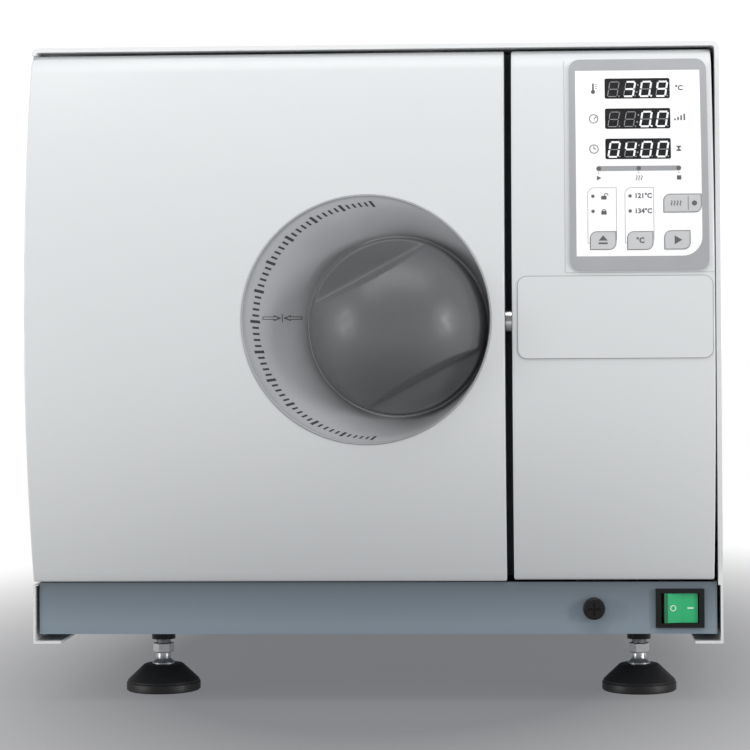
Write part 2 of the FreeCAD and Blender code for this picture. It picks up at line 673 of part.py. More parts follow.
def make_rack_teeth():
    """The bolt's toothed strip: straight flanks that mesh with the pinion from above."""
    module = amount("gear_module")
    spacing = math.pi * module
    slope = math.tan(math.radians(20))
    half = spacing / 4 - 0.06
    tip = -0.9 * module
    root = 1.25 * module
    points = [FreeCAD.Vector(-5.6 * spacing, 0, 9), FreeCAD.Vector(-5.6 * spacing, 0, root)]
    for number in range(-5, 4):
        middle = (number + 0.5) * spacing
        points.append(FreeCAD.Vector(middle - half - slope * root, 0, root))
        points.append(FreeCAD.Vector(middle - half - slope * tip, 0, tip))
        points.append(FreeCAD.Vector(middle + half + slope * tip, 0, tip))
        points.append(FreeCAD.Vector(middle + half + slope * root, 0, root))
    points.append(FreeCAD.Vector(6 * spacing, 0, root))
    points.append(FreeCAD.Vector(6 * spacing, 0, 9))
    strip = Part.Face(Part.makePolygon(points + points[:1])).extrude(FreeCAD.Vector(0, 8, 0))
    item = doc.addObject("Part::Feature", "rack_teeth")
    item.Shape = strip
    item.Placement = FreeCAD.Placement(
        FreeCAD.Vector(amount("knob_x"), amount("front_y") + 4.5, amount("knob_z + pinion_radius")),
        FreeCAD.Rotation())
    return item


def make_latch():
    """Knob and shaft, the sliding bolt with its guide, and the keeper that it enters."""
    crown = "(knob_proud - dish_floor - 10)"
    dome = [("0", "0"), ("knob_radius - 2", "0"), ("knob_radius", "2"),
            ("knob_radius", "8", "(knob_radius^2 + %s^2) / (2 * %s)" % (crown, crown)), ("0", "%s + 8" % crown)]
    keep(turned("knob_dome", dome, "knob_x", "front_y - dish_floor - 2", "knob_z", "front"), "knob")
    shaft = [("0", "0"), ("8", "0"), ("8", "7"), ("6", "7"), ("6", "15.6"), ("6", "29"), ("0", "29")]
    keep(turned("shaft_bar", shaft, "knob_x", "front_y - dish_floor - 2", "knob_z", "back"), "knob_shaft")
    make_pinion()

    nose = bar("bolt_nose", "bolt_radius", "fascia_left - 0.6 - 44", "44", "front_y + bolt_back", "bolt_z",
               "right")
    web = block("bolt_web", ("42", "50"), ("front_y + bolt_back - 7", "front_y + bolt_back + 7"),
                ("bolt_z - 7", "knob_z + pinion_radius + 9"))
    keep(join("bolt", nose, web, make_rack_teeth()), "latch_bolt")

    guide = block("guide_block", ("71", "door_right - sheet_gauge - 0.3"), ("front_y - 2", "front_y + 17.8"),
                  ("bolt_z - 18", "bolt_z + 18"))
    guide_bore = bar("guide_bore", "bolt_radius + running_gap", "30", "65", "front_y + bolt_back", "bolt_z",
                     "right")
    keep(cut("guide_cut", guide, guide_bore), "latch_guide")

    keeper = block("keeper_block", ("94", "112"), ("front_y - 4", "front_y + mouth_face + 2"),
                   ("bolt_z - 20", "bolt_z + 20"))
    keeper_bore = bar("keeper_bore", "bolt_radius + 0.6", "30", "90", "front_y + bolt_back", "bolt_z", "right")
    keep(cut("keeper_cut", keeper, keeper_bore), "latch_keeper")


# ---- Control fascia ----

DISPLAYS = (("temperature", 398.5), ("pressure", 378.6), ("time", 358.8))
KEYS = (
    # name, left, low, right, high
    ("key_release", 140.6, 294.2, 156.4, 305.1),
    ("key_temperature", 164.3, 294.0, 180.0, 305.0),
    ("key_start", 187.9, 294.1, 203.6, 305.4),
    ("key_dry", 187.6, 317.8, 211.0, 328.9),
)


def make_fascia():
    """Bowed panel with the keypad overlay, three digit displays, four keys and a blank plate."""
    solid = bowed("fascia_outer", "fascia_left", "fascia_right", "fascia_low", "door_high")
    hollow = bowed("fascia_inner", "fascia_left + sheet_gauge", "fascia_right - sheet_gauge",
                   "fascia_low + sheet_gauge", "door_high - sheet_gauge", "-sheet_gauge", "door_back + 10")
    bolt = bar("fascia_bolt_hole", "bolt_radius + 0.8", "20", "fascia_left - 10", "front_y + bolt_back",
               "bolt_z",
               "right")
    windows = []
    openings = []
    modules = []
    for name, middle in DISPLAYS:
        low = "%s - display_half" % middle
        high = "%s + display_half" % middle
        windows.append(block("fascia_window_" + name, ("display_left - 0.3", "display_right + 0.3"),
                             ("front_y - 40", "front_y"),
                             (low + " - 0.3", high + " + 0.3")))
        openings.append(front_prism("overlay_window_" + name,
                                    rounded("display_left - 0.2", low + " - 0.2", "display_right + 0.2",
                                            high + " + 0.2", "1.2"),
                                    "-50", "0"))
        modules.append(layer("display_" + name, rounded("display_left", low, "display_right", high, "1"),
                             "display_left - 10", "display_right + 8",
                             str(middle - 8), str(middle + 8), "-6", "overlay_gauge - 0.2"))
    keep(cut("fascia_cut", solid, hollow, bolt, *windows), "fascia_panel")
    keep(group("display_set", modules), "display_modules")

    pad = layer("overlay_sheet", rounded("pad_x", "pad_low", "pad_right", "pad_high", "7"), "pad_x - 5",
                "pad_right + 3", "pad_low - 5", "pad_high + 0.9", "0", "overlay_gauge")
    for name, left, low, right, high in KEYS:
        gap = 0.2
        openings.append(front_prism("overlay_hole_" + name,
                                    leaf(str(left - gap), str(low - gap), str(right + gap), str(high + gap),
                                         "4"),
                                    "-50", "0"))
        key = layer(name + "_cap", leaf(str(left), str(low), str(right), str(high), "3.8"), str(left - 3),
                    str(right + 3), str(low - 3), str(high + 3), "0.7", "overlay_gauge + 0.5")
        keep(key, name)
    keep(cut("overlay_cut", pad, *openings), "keypad_overlay")

    keep(layer("blank_sheet", rounded("plate_left", "plate_low", "plate_right", "plate_high", "5.6"),
               "plate_left - 1", "plate_right + 1", "plate_low - 3", "plate_high + 3",
               "0", "0.8"), "blank_plate")


def make_control_board():
    """Control board with its relays and transformer, on the right bay's wall."""
    plate = block("control_plate", ("98", "99.6"), ("front_y + 60", "front_y + 230"), ("200", "400"))
    parts = [plate]
    for index, (depth, height, size_y, size_z) in enumerate(((80, 220, 40, 40), (140, 230, 30, 24),
                                                             (90, 300, 60, 50), (170, 320, 30, 50))):
        parts.append(block("control_part_%d" % index, ("99.6", "99.6 + %d" % (12 + 5 * index)),
                           ("front_y + %d" % depth, "front_y + %d" % (depth + size_y)),
                           (str(height), str(height + size_z))))
    keep(join("control_boards", *parts), "control_board")


def make_switch():
    """Rocker switch and fuse cap in the front strip."""
    bezel = block("bezel_rim", ("switch_x - 15.7", "switch_x + 15.7"),
                  ("front_y - 0.2", "front_y + base_front - 0.02"),
                  ("switch_z - 12.6", "switch_z + 12.6"))
    body = block("bezel_body", ("switch_x - 13.4", "switch_x + 13.4"), ("front_y + 1", "front_y + 26"),
                 ("switch_z - 10.9", "switch_z + 10.9"))
    room = block("bezel_room", ("switch_x - 12.2", "switch_x + 12.2"), ("front_y - 5", "front_y + 14"),
                 ("switch_z - 9.8", "switch_z + 9.8"))
    pivot_y = "front_y + 7.5"
    sockets = bar("bezel_sockets", "1.55", "21.4", "switch_x", pivot_y, "switch_z - 10.7")
    keep(cut("bezel_cut", join("bezel_whole", bezel, body), room, sockets), "switch_body")

    rocker = prism("rocker_prism", "XY", [("-10.8", "-7.2"), ("0", "-5.9"), ("10.8", "-7.2"), ("10.8", "-1"),
                                         ("5", "3.5"), ("-5", "3.5"), ("-10.8", "-1")], "-9.5", "19")
    rocker.Placement.Rotation = FreeCAD.Rotation(FreeCAD.Vector(0, 0, 1), 6)
    place(rocker, "switch_x", pivot_y, "switch_z")
    trunnions = bar("rocker_trunnions", "1.5", "21", "switch_x", pivot_y, "switch_z - 10.5")
    keep(join("rocker_whole", rocker, trunnions), "switch_rocker")

    cap = [("0", "0"), ("4.9", "0"), ("4.9", "10"), ("7.1", "10"), ("7.1", "14"), ("6.1", "15.2"),
           ("0", "15.2")]
    knurled = turned("cap_round", cap, "fuse_x", "front_y + base_front + 9", "switch_z", "front")
    slots = [block("cap_slot_across", ("fuse_x - 4", "fuse_x + 4"), ("front_y - 10", "front_y - 2.7"),
                   ("switch_z - 0.7", "switch_z + 0.7")),
             block("cap_slot_upright", ("fuse_x - 0.7", "fuse_x + 0.7"), ("front_y - 10", "front_y - 2.7"),
                   ("switch_z - 4", "switch_z + 4"))]
    keep(cut("cap_cut", knurled, *slots), "fuse_cap")


# ---- Water, steam and electric fittings behind the panels ----

def make_tank():
    """Water tank under a hinged filler lid."""
    shell = block("tank_shell", ("tank_left", "tank_right"), ("front_y + tank_front", "front_y + tank_rear"),
                  ("tank_low", "casing_top - 10"))
    hollow = block("tank_hollow", ("tank_left + tank_wall", "tank_right - tank_wall"),
                   ("front_y + tank_front + tank_wall", "front_y + tank_rear - tank_wall"),
                   ("tank_low + tank_wall", "casing_top - 10 - tank_wall"))
    mouth = block("tank_mouth", ("tank_left + 22", "tank_right - 22"),
                  ("front_y + tank_front + 44", "front_y + tank_rear - 44"), ("casing_top - 20",
                                                                              "casing_top + 8"))
    neck = block("tank_neck", ("tank_left + 19", "tank_right - 19"),
                 ("front_y + tank_front + 41", "front_y + tank_rear - 41"), ("casing_top - 12",
                                                                             "casing_top + 1.5"))
    keep(cut("tank_cut", join("tank_whole", shell, neck), hollow, mouth), "water_tank")
    lid = block("lid_plate", ("tank_left + 12", "tank_right - 12"),
                ("front_y + tank_front + 34", "front_y + tank_rear - 36"), ("casing_top + 1.8",
                                                                            "casing_top + 4.8"))
    plug = block("lid_plug", ("tank_left + 24", "tank_right - 24"),
                 ("front_y + tank_front + 46", "front_y + tank_rear - 50"), ("casing_top - 1",
                                                                             "casing_top + 2"))
    web = block("lid_web", ("lid_x - 19", "lid_x + 19"),
                ("front_y + tank_rear - 37", "front_y + tank_rear - 32"),
                ("casing_top + 2", "casing_top + 4"))
    eye = bar("lid_eye", "2.2", "40", "lid_x - 20", "front_y + tank_rear - 32", "casing_top + lid_pin_height",
              "right")
    eye_bore = bar("lid_eye_bore", "1.05", "60", "lid_x - 30", "front_y + tank_rear - 32",
                   "casing_top + lid_pin_height", "right")
    keep(cut("lid_cut", join("lid_whole", lid, plug, web, eye), eye_bore), "filler_lid")
    bearers = []
    for index, x in enumerate(("lid_x - 26", "lid_x + 21")):
        ear = block("lid_ear_%d" % index, (x, x + " + 5"),
                    ("front_y + tank_rear - 34.5", "front_y + tank_rear - 29.5"), ("casing_top",
                                                                                   "casing_top + 5.2"))
        bearers.append(ear)
    pin = bar("lid_pin", "1", "52", "lid_x - 26", "front_y + tank_rear - 32", "casing_top + lid_pin_height",
              "right")
    keep(join("lid_hinge_body", *bearers, pin), "lid_hinge")


def make_pump_and_valves():
    """Water pump, valve row, safety valve, fan and finned condenser, and the rear fittings."""
    motor = bar("pump_motor", "22", "70", "110", "front_y + 120", "base_low + sheet_gauge + 26", "back")
    head = block("pump_head", ("92", "128"), ("front_y + 190", "front_y + 220"),
                 ("base_low + sheet_gauge", "95"))
    base = block("pump_base", ("95", "125"), ("front_y + 130", "front_y + 190"),
                 ("base_low + sheet_gauge", "60"))
    keep(join("pump_whole", motor, head, base), "water_pump")

    valves = []
    for index in range(3):
        depth = 110 + 45 * index
        coil = block("valve_coil_%d" % index, ("165", "195"),
                     ("front_y + %d" % depth, "front_y + %d" % (depth + 28)),
                     ("110", "146"))
        seat = bar("valve_seat_%d" % index, "9", "62", "180", "front_y + %d" % (depth + 14),
                   "base_low + sheet_gauge")
        valves.append(join("valve_%d" % index, coil, seat))
    keep(group("valve_set", valves), "solenoid_valves")

    relief = [("0", "0"), ("6", "0"), ("6", "10"), ("10", "10"), ("10", "22"), ("7", "24"), ("7", "44"),
              ("9", "46"),
              ("9", "50"), ("0", "50")]
    keep(turned("relief_body", relief, "chamber_x", "front_y + vessel_rear", "chamber_z + 60", "back"),
         "safety_valve")

    frame = block("fan_frame_block", ("fan_x - fan_half", "fan_x + fan_half"),
                  ("front_y + panel_back - 26", "front_y + panel_back - 0.5"),
                  ("fan_z - fan_half", "fan_z + fan_half"))
    tunnel = bar("fan_tunnel", "fan_opening", "60", "fan_x", "front_y + panel_back - 40", "fan_z", "back")
    hub = bar("fan_hub", "15", "4", "fan_x", "front_y + panel_back - 4.5", "fan_z", "back")
    arms = [block("fan_arm_across", ("fan_x - fan_half + 2", "fan_x + fan_half - 2"),
                  ("front_y + panel_back - 3.5", "front_y + panel_back - 0.5"),
                  ("fan_z - 2", "fan_z + 2")),
            block("fan_arm_upright", ("fan_x - 2", "fan_x + 2"),
                  ("front_y + panel_back - 3.5", "front_y + panel_back - 0.5"),
                  ("fan_z - fan_half + 2", "fan_z + fan_half - 2"))]
    axle = bar("fan_axle", "2", "20", "fan_x", "front_y + panel_back - 22", "fan_z", "back")
    keep(join("fan_frame_whole", cut("fan_ring", frame, tunnel), hub, axle, *arms), "fan_frame")

    rotor_parts = [bar("rotor_hub", "15", "17", "fan_x", "front_y + panel_back - 23", "fan_z", "back")]
    for index in range(7):
        blade = doc.addObject("Part::Box", "rotor_blade_%d" % index)
        blade.Length = 27
        blade.Width = 1.6
        blade.Height = 18
        angle = 360.0 * index / 7
        tilt = FreeCAD.Rotation(FreeCAD.Vector(0, 1, 0), angle).multiply(
            FreeCAD.Rotation(FreeCAD.Vector(1, 0, 0), 40))
        hub_point = FreeCAD.Rotation(FreeCAD.Vector(0, 1, 0), angle).multVec(FreeCAD.Vector(13, -6, -6))
        blade.Placement.Rotation = tilt
        place(blade, "fan_x + %.4f" % hub_point.x, "front_y + panel_back - 14.5 + %.4f" % hub_point.y,
              "fan_z + %.4f" % hub_point.z)
        rotor_parts.append(blade)
    rotor_bore = bar("rotor_bore", "2.05", "40", "fan_x", "front_y + panel_back - 30", "fan_z", "back")
    keep(cut("rotor_cut", join("rotor_whole", *rotor_parts), rotor_bore), "fan_rotor")

    fins = []
    for index in range(14):
        x = "fan_x - 42 + %d" % (6 * index)
        fins.append(block("fin_%d" % index, (x, x + " + 1"),
                          ("front_y + panel_back - 62", "front_y + panel_back - 34"), ("fan_z - 42",
                                                                                       "fan_z + 42")))
    for index in range(3):
        fins.append(bar("condenser_tube_%d" % index, "4", "84", "fan_x - 44", "front_y + panel_back - 48",
                        "fan_z + %d" % (25 * index - 25), "right"))
    keep(join("condenser_whole", *fins), "condenser")

    inlet = block("inlet_body", ("inlet_x - 13.7", "inlet_x + 13.7"),
                  ("front_y + panel_back - 18", "front_y + panel_back + 3"),
                  ("inlet_z - 11.7", "inlet_z + 11.7"))
    rim = block("inlet_rim", ("inlet_x - 19", "inlet_x + 19"),
                ("front_y + panel_back + 1.52", "front_y + panel_back + 3.5"),
                ("inlet_z - 15", "inlet_z + 15"))
    socket = block("inlet_socket", ("inlet_x - 11.5", "inlet_x + 11.5"),
                   ("front_y + panel_back - 14", "front_y + panel_back + 10"),
                   ("inlet_z - 8.5", "inlet_z + 8.5"))
    blades = []
    for index in range(3):
        offset = 6 * index - 7
        blades.append(block("inlet_pin_%d" % index, ("inlet_x + %d" % offset, "inlet_x + %d" % (offset + 2)),
                            ("front_y + panel_back - 15", "front_y + panel_back - 2"),
                            ("inlet_z - 2", "inlet_z + 3")))
    keep(join("inlet_whole", cut("inlet_cut", join("inlet_solid", inlet, rim), socket), *blades), "mains_inlet")

    filter_body = [("0", "0"), ("10", "0"), ("10", "18"), ("26", "18"), ("30", "22"), ("30", "28.5"),
                   ("26", "32"),
                   ("0", "32")]
    keep(turned("filter_round", filter_body, "filter_x", "front_y + panel_back - 10", "filter_z", "back"),
         "air_filter")
    drains = []
    for index in range(2):
        barb = [("0", "0"), ("5", "0"), ("5", "15.6"), ("8", "15.6"), ("8", "21"), ("5", "21"), ("5", "25"),
                ("6", "25"), ("5", "31"), ("6", "31"), ("5", "36"), ("3", "36"), ("3", "10"), ("0", "10")]
        drains.append(turned("drain_%d" % index, barb, "drain_x + drain_pitch * %d" % index,
                             "front_y + panel_back - 14",
                             "drain_z", "back"))
    keep(group("drain_set", drains), "drain_fittings")


# ---- Levelling feet ----

def make_feet():
    """Four levelling feet: a pad, a stud with a wrench hexagon, and a threaded boss under the tray."""
    bosses = []
    for side in ("left", "right"):
        for end in ("front", "rear"):
            spot = "%s_%s" % (end, side)
            x = "foot_%s" % side
            y = "front_y + foot_%s" % end
            pad = [("0", "0"), ("foot_radius - 1", "0"), ("foot_radius", "1"), ("foot_radius", "5.8"),
                   ("foot_radius - 0.8", "6.8"), ("12.7", "17.5"), ("5.2", "17.5"), ("5.2", "9"), ("0", "9")]
            keep(turned("pad_" + spot, pad, x, y, "0"), "foot_pad_" + spot)
            stem = [("0", "0"), ("5", "0"), ("5", "8.5"), ("7.6", "8.5"), ("7", "9.8"), ("4.9", "12.4"),
                    ("4.9", "16.4"),
                    ("stud_radius", "16.4"), ("stud_radius", "50"), ("0", "50")]
            rod = turned("stud_bar_" + spot, stem, x, y, "9.1")
            hexagon = doc.addObject("Part::Prism", "stud_hex_" + spot)
            hexagon.Polygon = 6
            hexagon.Circumradius = 7
            hexagon.Height = 6.4
            place(hexagon, x, y, "25.4")
            keep(join("stud_" + spot, rod, hexagon), "foot_stud_" + spot)
            ring = [("stud_radius + running_gap", "0"), ("boss_radius", "0"), ("boss_radius", "11"),
                    ("stud_radius + 2.3", "11"),
                    ("stud_radius + 2.3", "14"), ("stud_radius + running_gap", "14")]
            bosses.append(turned("boss_" + spot, ring, x, y, "base_low - 11"))
    keep(group("boss_set", bosses), "foot_bosses")


make_casing()
make_base_tray()
make_screws()
make_rear_panel()
make_bulkhead()
make_chamber()
make_trays()
make_door_cover()
make_dish()
make_door_frame()
make_hinge()
make_latch()
make_fascia()
make_control_board()
make_switch()
make_tank()
make_pump_and_valves()
make_feet()
doc.recompute()

for item in doc.Objects:
    if "Invalid" in item.State or "Error" in item.State:
        raise RuntimeError("%s failed: %s" % (item.Name, item.State))
for node in nodes:
    if node.Shape.isNull() or not node.Shape.isValid() or not node.Shape.Solids:
        raise RuntimeError("%s has no valid solid" % node.Label)

os.makedirs("parts", exist_ok=True)
for node in nodes:
    node.Shape.exportStep("parts/%s.step" % node.Label)
    print("%-24s solids %2d volume %.1f cm3" % (node.Label, len(node.Shape.Solids), node.Shape.Volume / 1000))
print(len(nodes), "nodes")
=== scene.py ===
"""Looks of the benchtop autoclave around its CAD frame.

The bowed shells, recess, knob, feet, printed graphics and materials. Lengths are in metres,
except that the printed graphics are drawn in millimetres before they are laid on a surface.
"""
import bpy
import bmesh
import json
import math
from mathutils import Matrix, Vector


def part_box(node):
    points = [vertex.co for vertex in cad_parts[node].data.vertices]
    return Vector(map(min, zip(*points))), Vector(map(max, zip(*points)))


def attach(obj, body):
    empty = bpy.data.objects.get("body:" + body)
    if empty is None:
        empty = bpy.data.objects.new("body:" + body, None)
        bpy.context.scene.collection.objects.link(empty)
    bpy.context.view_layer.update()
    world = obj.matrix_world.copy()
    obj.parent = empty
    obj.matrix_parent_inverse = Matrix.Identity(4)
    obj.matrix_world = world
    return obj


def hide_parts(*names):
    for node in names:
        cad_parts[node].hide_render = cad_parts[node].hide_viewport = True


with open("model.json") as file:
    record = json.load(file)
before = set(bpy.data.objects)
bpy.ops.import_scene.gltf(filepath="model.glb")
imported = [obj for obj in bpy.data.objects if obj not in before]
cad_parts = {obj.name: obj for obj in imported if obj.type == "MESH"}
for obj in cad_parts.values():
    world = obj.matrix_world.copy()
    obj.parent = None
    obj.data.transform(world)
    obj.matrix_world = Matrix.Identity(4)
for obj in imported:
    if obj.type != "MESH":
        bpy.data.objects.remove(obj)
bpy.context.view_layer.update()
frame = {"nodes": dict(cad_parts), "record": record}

MM = 0.001

door_low, door_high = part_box("door_cover")
fascia_low, fascia_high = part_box("fascia_panel")
knob_low, knob_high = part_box("knob")
dish_low, dish_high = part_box("handle_recess")
plate_low, plate_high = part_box("blank_plate")
bezel_low, bezel_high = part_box("switch_body")

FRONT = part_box("casing")[0].y  # front lip of the casing
CROWN = door_low.y  # most forward line of the bowed fronts
BACK = FRONT + 24.5 * MM  # open back of the door's and the fascia's flanges
SHEET = 1.5 * MM  # gauge of door and fascia
BOW_RADIUS = 582 * MM
BOW_MIDDLE = 253 * MM  # height of the crown
BEVEL = 6.5 * MM  # bevel along the upper edge of door and fascia
BOLT_Y = FRONT + 8.5 * MM  # axis of the latch bolt
BOLT_Z = 248.7 * MM
DISH_RADIUS = (dish_high.x - dish_low.x) / 2
DISH_X = (dish_low.x + dish_high.x) / 2
DISH_Z = (dish_low.z + dish_high.z) / 2
KNOB_X = (knob_low.x + knob_high.x) / 2
KNOB_Z = (knob_low.z + knob_high.z) / 2
KNOB_BASE = knob_high.y
KNOB_HEIGHT = knob_high.y - knob_low.y
DISH_FLOOR = KNOB_BASE + 2 * MM  # flat floor of the recess, just behind the knob
RIM_RADIUS = DISH_RADIUS - 1.4 * MM  # where the recess's wall starts, inside its lip
FLOOR_RADIUS = (knob_high.x - knob_low.x) / 2 + 1.5 * MM


# ---- Camera, light and floor ----

CAMERA_PLACE = (0.1122, FRONT - 1.5, 0.2407)
CAMERA_YAW = 2.4  # degrees, off a level look along +Y
CAMERA_PITCH = 0.84
CAMERA_ROLL = -0.34
CAMERA_SHIFT = -0.1  # across and up alike
LENS = 110.7
SENSOR_WIDTH = 36
VIEW_DISTANCE = 100
SURROUND_LIGHT = 0.31  # strength of the white surround as a light
SURROUND_SEEN = 1.1  # and as the camera sees it
FLOOR_HALF = 30
LIGHTS = (
    # name, place, target, size, power
    ("overhead", (0, -0.85, 1.6), (0, -0.25, 0.35), (1.9, 0.7), 15.5),
    ("key", (-0.95, -1.3, 1.45), (0, -0.3, 0.25), (0.3, 0.3), 2.5),
    ("left window", (-1.5, -0.86, 0.38), (0, -0.3, 0.25), (0.28, 0.6), 9),
    ("right window", (1.45, -0.95, 0.42), (0, -0.3, 0.25), (0.28, 0.6), 10),
)


def make_camera():
    """A long lens at half the machine's height, to the right of its middle."""
    camera = bpy.data.objects.new("camera", bpy.data.cameras.new("camera"))
    bpy.context.scene.collection.objects.link(camera)
    camera.data.lens = LENS
    camera.data.sensor_width = SENSOR_WIDTH
    camera.data.shift_x = CAMERA_SHIFT
    camera.data.shift_y = CAMERA_SHIFT
    camera.data.clip_end = VIEW_DISTANCE
    camera.location = CAMERA_PLACE
    yaw = Matrix.Rotation(math.radians(CAMERA_YAW), 4, "Z")
    pitch = Matrix.Rotation(math.radians(90 + CAMERA_PITCH), 4, "X")
    roll = Matrix.Rotation(math.radians(CAMERA_ROLL), 4, "Z")
    camera.rotation_euler = (yaw @ pitch @ roll).to_euler()
    bpy.context.scene.camera = camera


def area_light(name, location, target, size, power):
    """A soft rectangular light aimed at a point."""
    data = bpy.data.lights.new(name, "AREA")
    data.shape = "RECTANGLE"
    data.size, data.size_y = size
    data.energy = power
    lamp = bpy.data.objects.new(name, data)
    lamp.location = location
    lamp.rotation_euler = (Vector(target) - Vector(location)).to_track_quat("-Z", "Y").to_euler()
    bpy.context.scene.collection.objects.link(lamp)


def make_stage():
    """Pale floor, white surround, and soft lights above, in front and on both sides."""
    scene = bpy.context.scene
    scene.view_settings.view_transform = "Standard"
    world = bpy.data.worlds.new("studio")
    world.use_nodes = True
    tree = world.node_tree
    backdrop = tree.nodes["Background"]
    rays = tree.nodes.new("ShaderNodeLightPath")
    strength = tree.nodes.new("ShaderNodeMapRange")
    strength.inputs["To Min"].default_value = SURROUND_LIGHT
    strength.inputs["To Max"].default_value = SURROUND_SEEN
    tree.links.new(rays.outputs["Is Camera Ray"], strength.inputs["Value"])
    tree.links.new(strength.outputs["Result"], backdrop.inputs["Strength"])
    backdrop.inputs["Color"].default_value = (1, 1, 1, 1)
    scene.world = world
    for light in LIGHTS:
        area_light(*light)
    corners = [(x * FLOOR_HALF, y * FLOOR_HALF, 0) for x, y in ((-1, -1), (1, -1), (1, 1), (-1, 1))]
    mesh = bpy.data.meshes.new("floor")
    mesh.from_pydata(corners, [], [(0, 1, 2, 3)])
    floor = bpy.data.objects.new("floor", mesh)
    scene.collection.objects.link(floor)
    floor.data.materials.append(floor_material())


# ---- Mesh helpers ----

def bow_y(z, grow=0.0):
    """Depth of the bowed fronts at a height, with the surface grown outwards."""
    return CROWN + BOW_RADIUS - math.sqrt((BOW_RADIUS + grow) ** 2 - (z - BOW_MIDDLE) ** 2)


def to_mesh(name, work):
    """A mesh from faces that all look outwards."""
    bmesh.ops.recalc_face_normals(work, faces=work.faces)
    mesh = bpy.data.meshes.new(name)
    work.to_mesh(mesh)
    work.free()
    return mesh


def add_piece(name, mesh, material, body, slot, *replaced, smooth=35):
    """Make a mesh a shown piece that rides on a CAD body."""
    piece = bpy.data.objects.new(name, mesh)
    bpy.context.scene.collection.objects.link(piece)
    mesh.materials.append(look(material))
    mesh.shade_smooth()
    mesh.set_sharp_from_angle(angle=math.radians(smooth))
    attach(piece, body)
    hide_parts(*replaced)


def skin(name, rows, ends="join"):
    """Skin over closed rows of points. The first and last row are joined, or each is capped."""
    work = bmesh.new()
    made = [[work.verts.new(point) for point in row] for row in rows]
    pairs = list(zip(made, made[1:]))
    if ends == "join":
        pairs.append((made[-1], made[0]))
    else:
        work.faces.new(made[0])
        work.faces.new(made[-1])
    for row, after in pairs:
        for step, corner in enumerate(row):
            following = (step + 1) % len(row)
            work.faces.new((corner, row[following], after[following], after[step]))
    return to_mesh(name, work)


def lathe(name, centre, profile, axis="Z", steps=64):
    """Turn a profile of (radius, distance) about an axis through a point."""
    rows = []
    for radius, distance in profile:
        row = []
        for step in range(steps):
            angle = math.tau * step / steps
            across = (radius * math.cos(angle), radius * math.sin(angle))
            spot = (across[0], across[1], distance) if axis == "Z" else (across[0], distance, across[1])
            row.append(Vector(centre) + Vector(spot))
        rows.append(row)
    return skin(name, rows, "cap")


def prism(name, outline, left, right):
    """A solid of constant section along X from an outline of (y, z)."""
    return skin(name, [[(x, y, z) for y, z in outline] for x in (left, right)], "cap")


def box(name, x, y, z):
    """A plain block that only ever cuts other meshes."""
    outline = [(y[0], z[0]), (y[1], z[0]), (y[1], z[1]), (y[0], z[1])]
    return prism(name, outline, x[0], x[1])


def cut(mesh, cutters):
    """Take each cutter mesh away from a mesh."""
    base = bpy.data.objects.new("cut_base", mesh)
    bpy.context.scene.collection.objects.link(base)
    tools = []
    for cutter in cutters:
        tool = bpy.data.objects.new("cut_tool", cutter)
        bpy.context.scene.collection.objects.link(tool)
        modifier = base.modifiers.new("cut", "BOOLEAN")
        modifier.operation = "DIFFERENCE"
        modifier.solver = "EXACT"
        modifier.object = tool
        tools.append(tool)
    evaluated = base.evaluated_get(bpy.context.evaluated_depsgraph_get())
    result = bpy.data.meshes.new_from_object(evaluated)
    for item in (base, *tools):
        bpy.data.objects.remove(item)
    return result


def bevel_edges(mesh, wanted, width):
    """Round the edges that a test picks."""
    work = bmesh.new()
    work.from_mesh(mesh)
    edges = [edge for edge in work.edges if wanted(edge)]
    bmesh.ops.bevel(work, geom=edges, offset=width, segments=3, profile=0.5, affect="EDGES")
    return to_mesh(mesh.name, work)


def arc(centre, radius, start, end, steps):
    """Points on an arc, angles in degrees."""
    points = []
    for step in range(steps + 1):
        angle = math.radians(start + (end - start) * step / steps)
        points.append((centre[0] + radius * math.cos(angle), centre[1] + radius * math.sin(angle)))
    return points


# ---- Door and fascia shells ----

BOW_STEPS = 56
EDGE_ROUND = 1.3 * MM
BOLT_HOLE = 9.8 * MM  # radius of the bolt's hole in the side flanges
OVERRUN = 5 * MM  # how far cutters start in front of what they cut
HINGE_HEIGHTS = (150 * MM, 356 * MM)
NOTCH_HALF = 18 * MM
NOTCH_WIDTH = 4 * MM
WINDOW_PLAY = 0.3  # windows reach this far past the displays, in millimetres


def bowed_outline(low, high, inset):
    """Side outline of a bowed cover, drawn in by a sheet thickness where it is the inside."""
    low, turn, high = low + inset, high - BEVEL, high - inset
    front = []
    for step in range(BOW_STEPS + 1):
        z = low + (turn - low) * step / BOW_STEPS
        front.append((bow_y(z, -inset), z))
    back = BACK + 10 * inset  # the inside runs out of the back, so the cover is open there
    top = (bow_y(turn, -inset) + high - turn, high)
    return [(back, low), *front, top, (back, high)]


def bowed_shell(name, low, high, holes):
    """Folded cover: rounded edges in front, open at the back, with holes."""
    outside = prism(name, bowed_outline(low.z, high.z, 0), low.x, high.x)

    def outer_edge(edge):
        """Edges of both end faces and of the front's top and bottom, but none along the open back."""
        first, second = (vertex.co for vertex in edge.verts)
        at_end = abs(first.x - second.x) < MM
        level = abs(first.z - second.z) < MM
        ahead = max(first.y, second.y) < BACK - MM
        at_rim = min(first.z, second.z) < low.z + MM or max(first.z, second.z) > high.z - MM
        return at_end and (ahead or level) or ahead and at_rim

    outside = bevel_edges(outside, outer_edge, EDGE_ROUND)
    inside = prism(name + "_inside", bowed_outline(low.z, high.z, SHEET), low.x + SHEET, high.x - SHEET)
    return cut(outside, [inside, *holes])


def bolt_cutter(middle):
    """Round bar along X that cuts the latch bolt's hole in a side flange."""
    ring = arc((BOLT_Y, BOLT_Z), BOLT_HOLE, 0, 352.5, 47)
    return prism("bolt_cutter", ring, middle - 10 * MM, middle + 10 * MM)


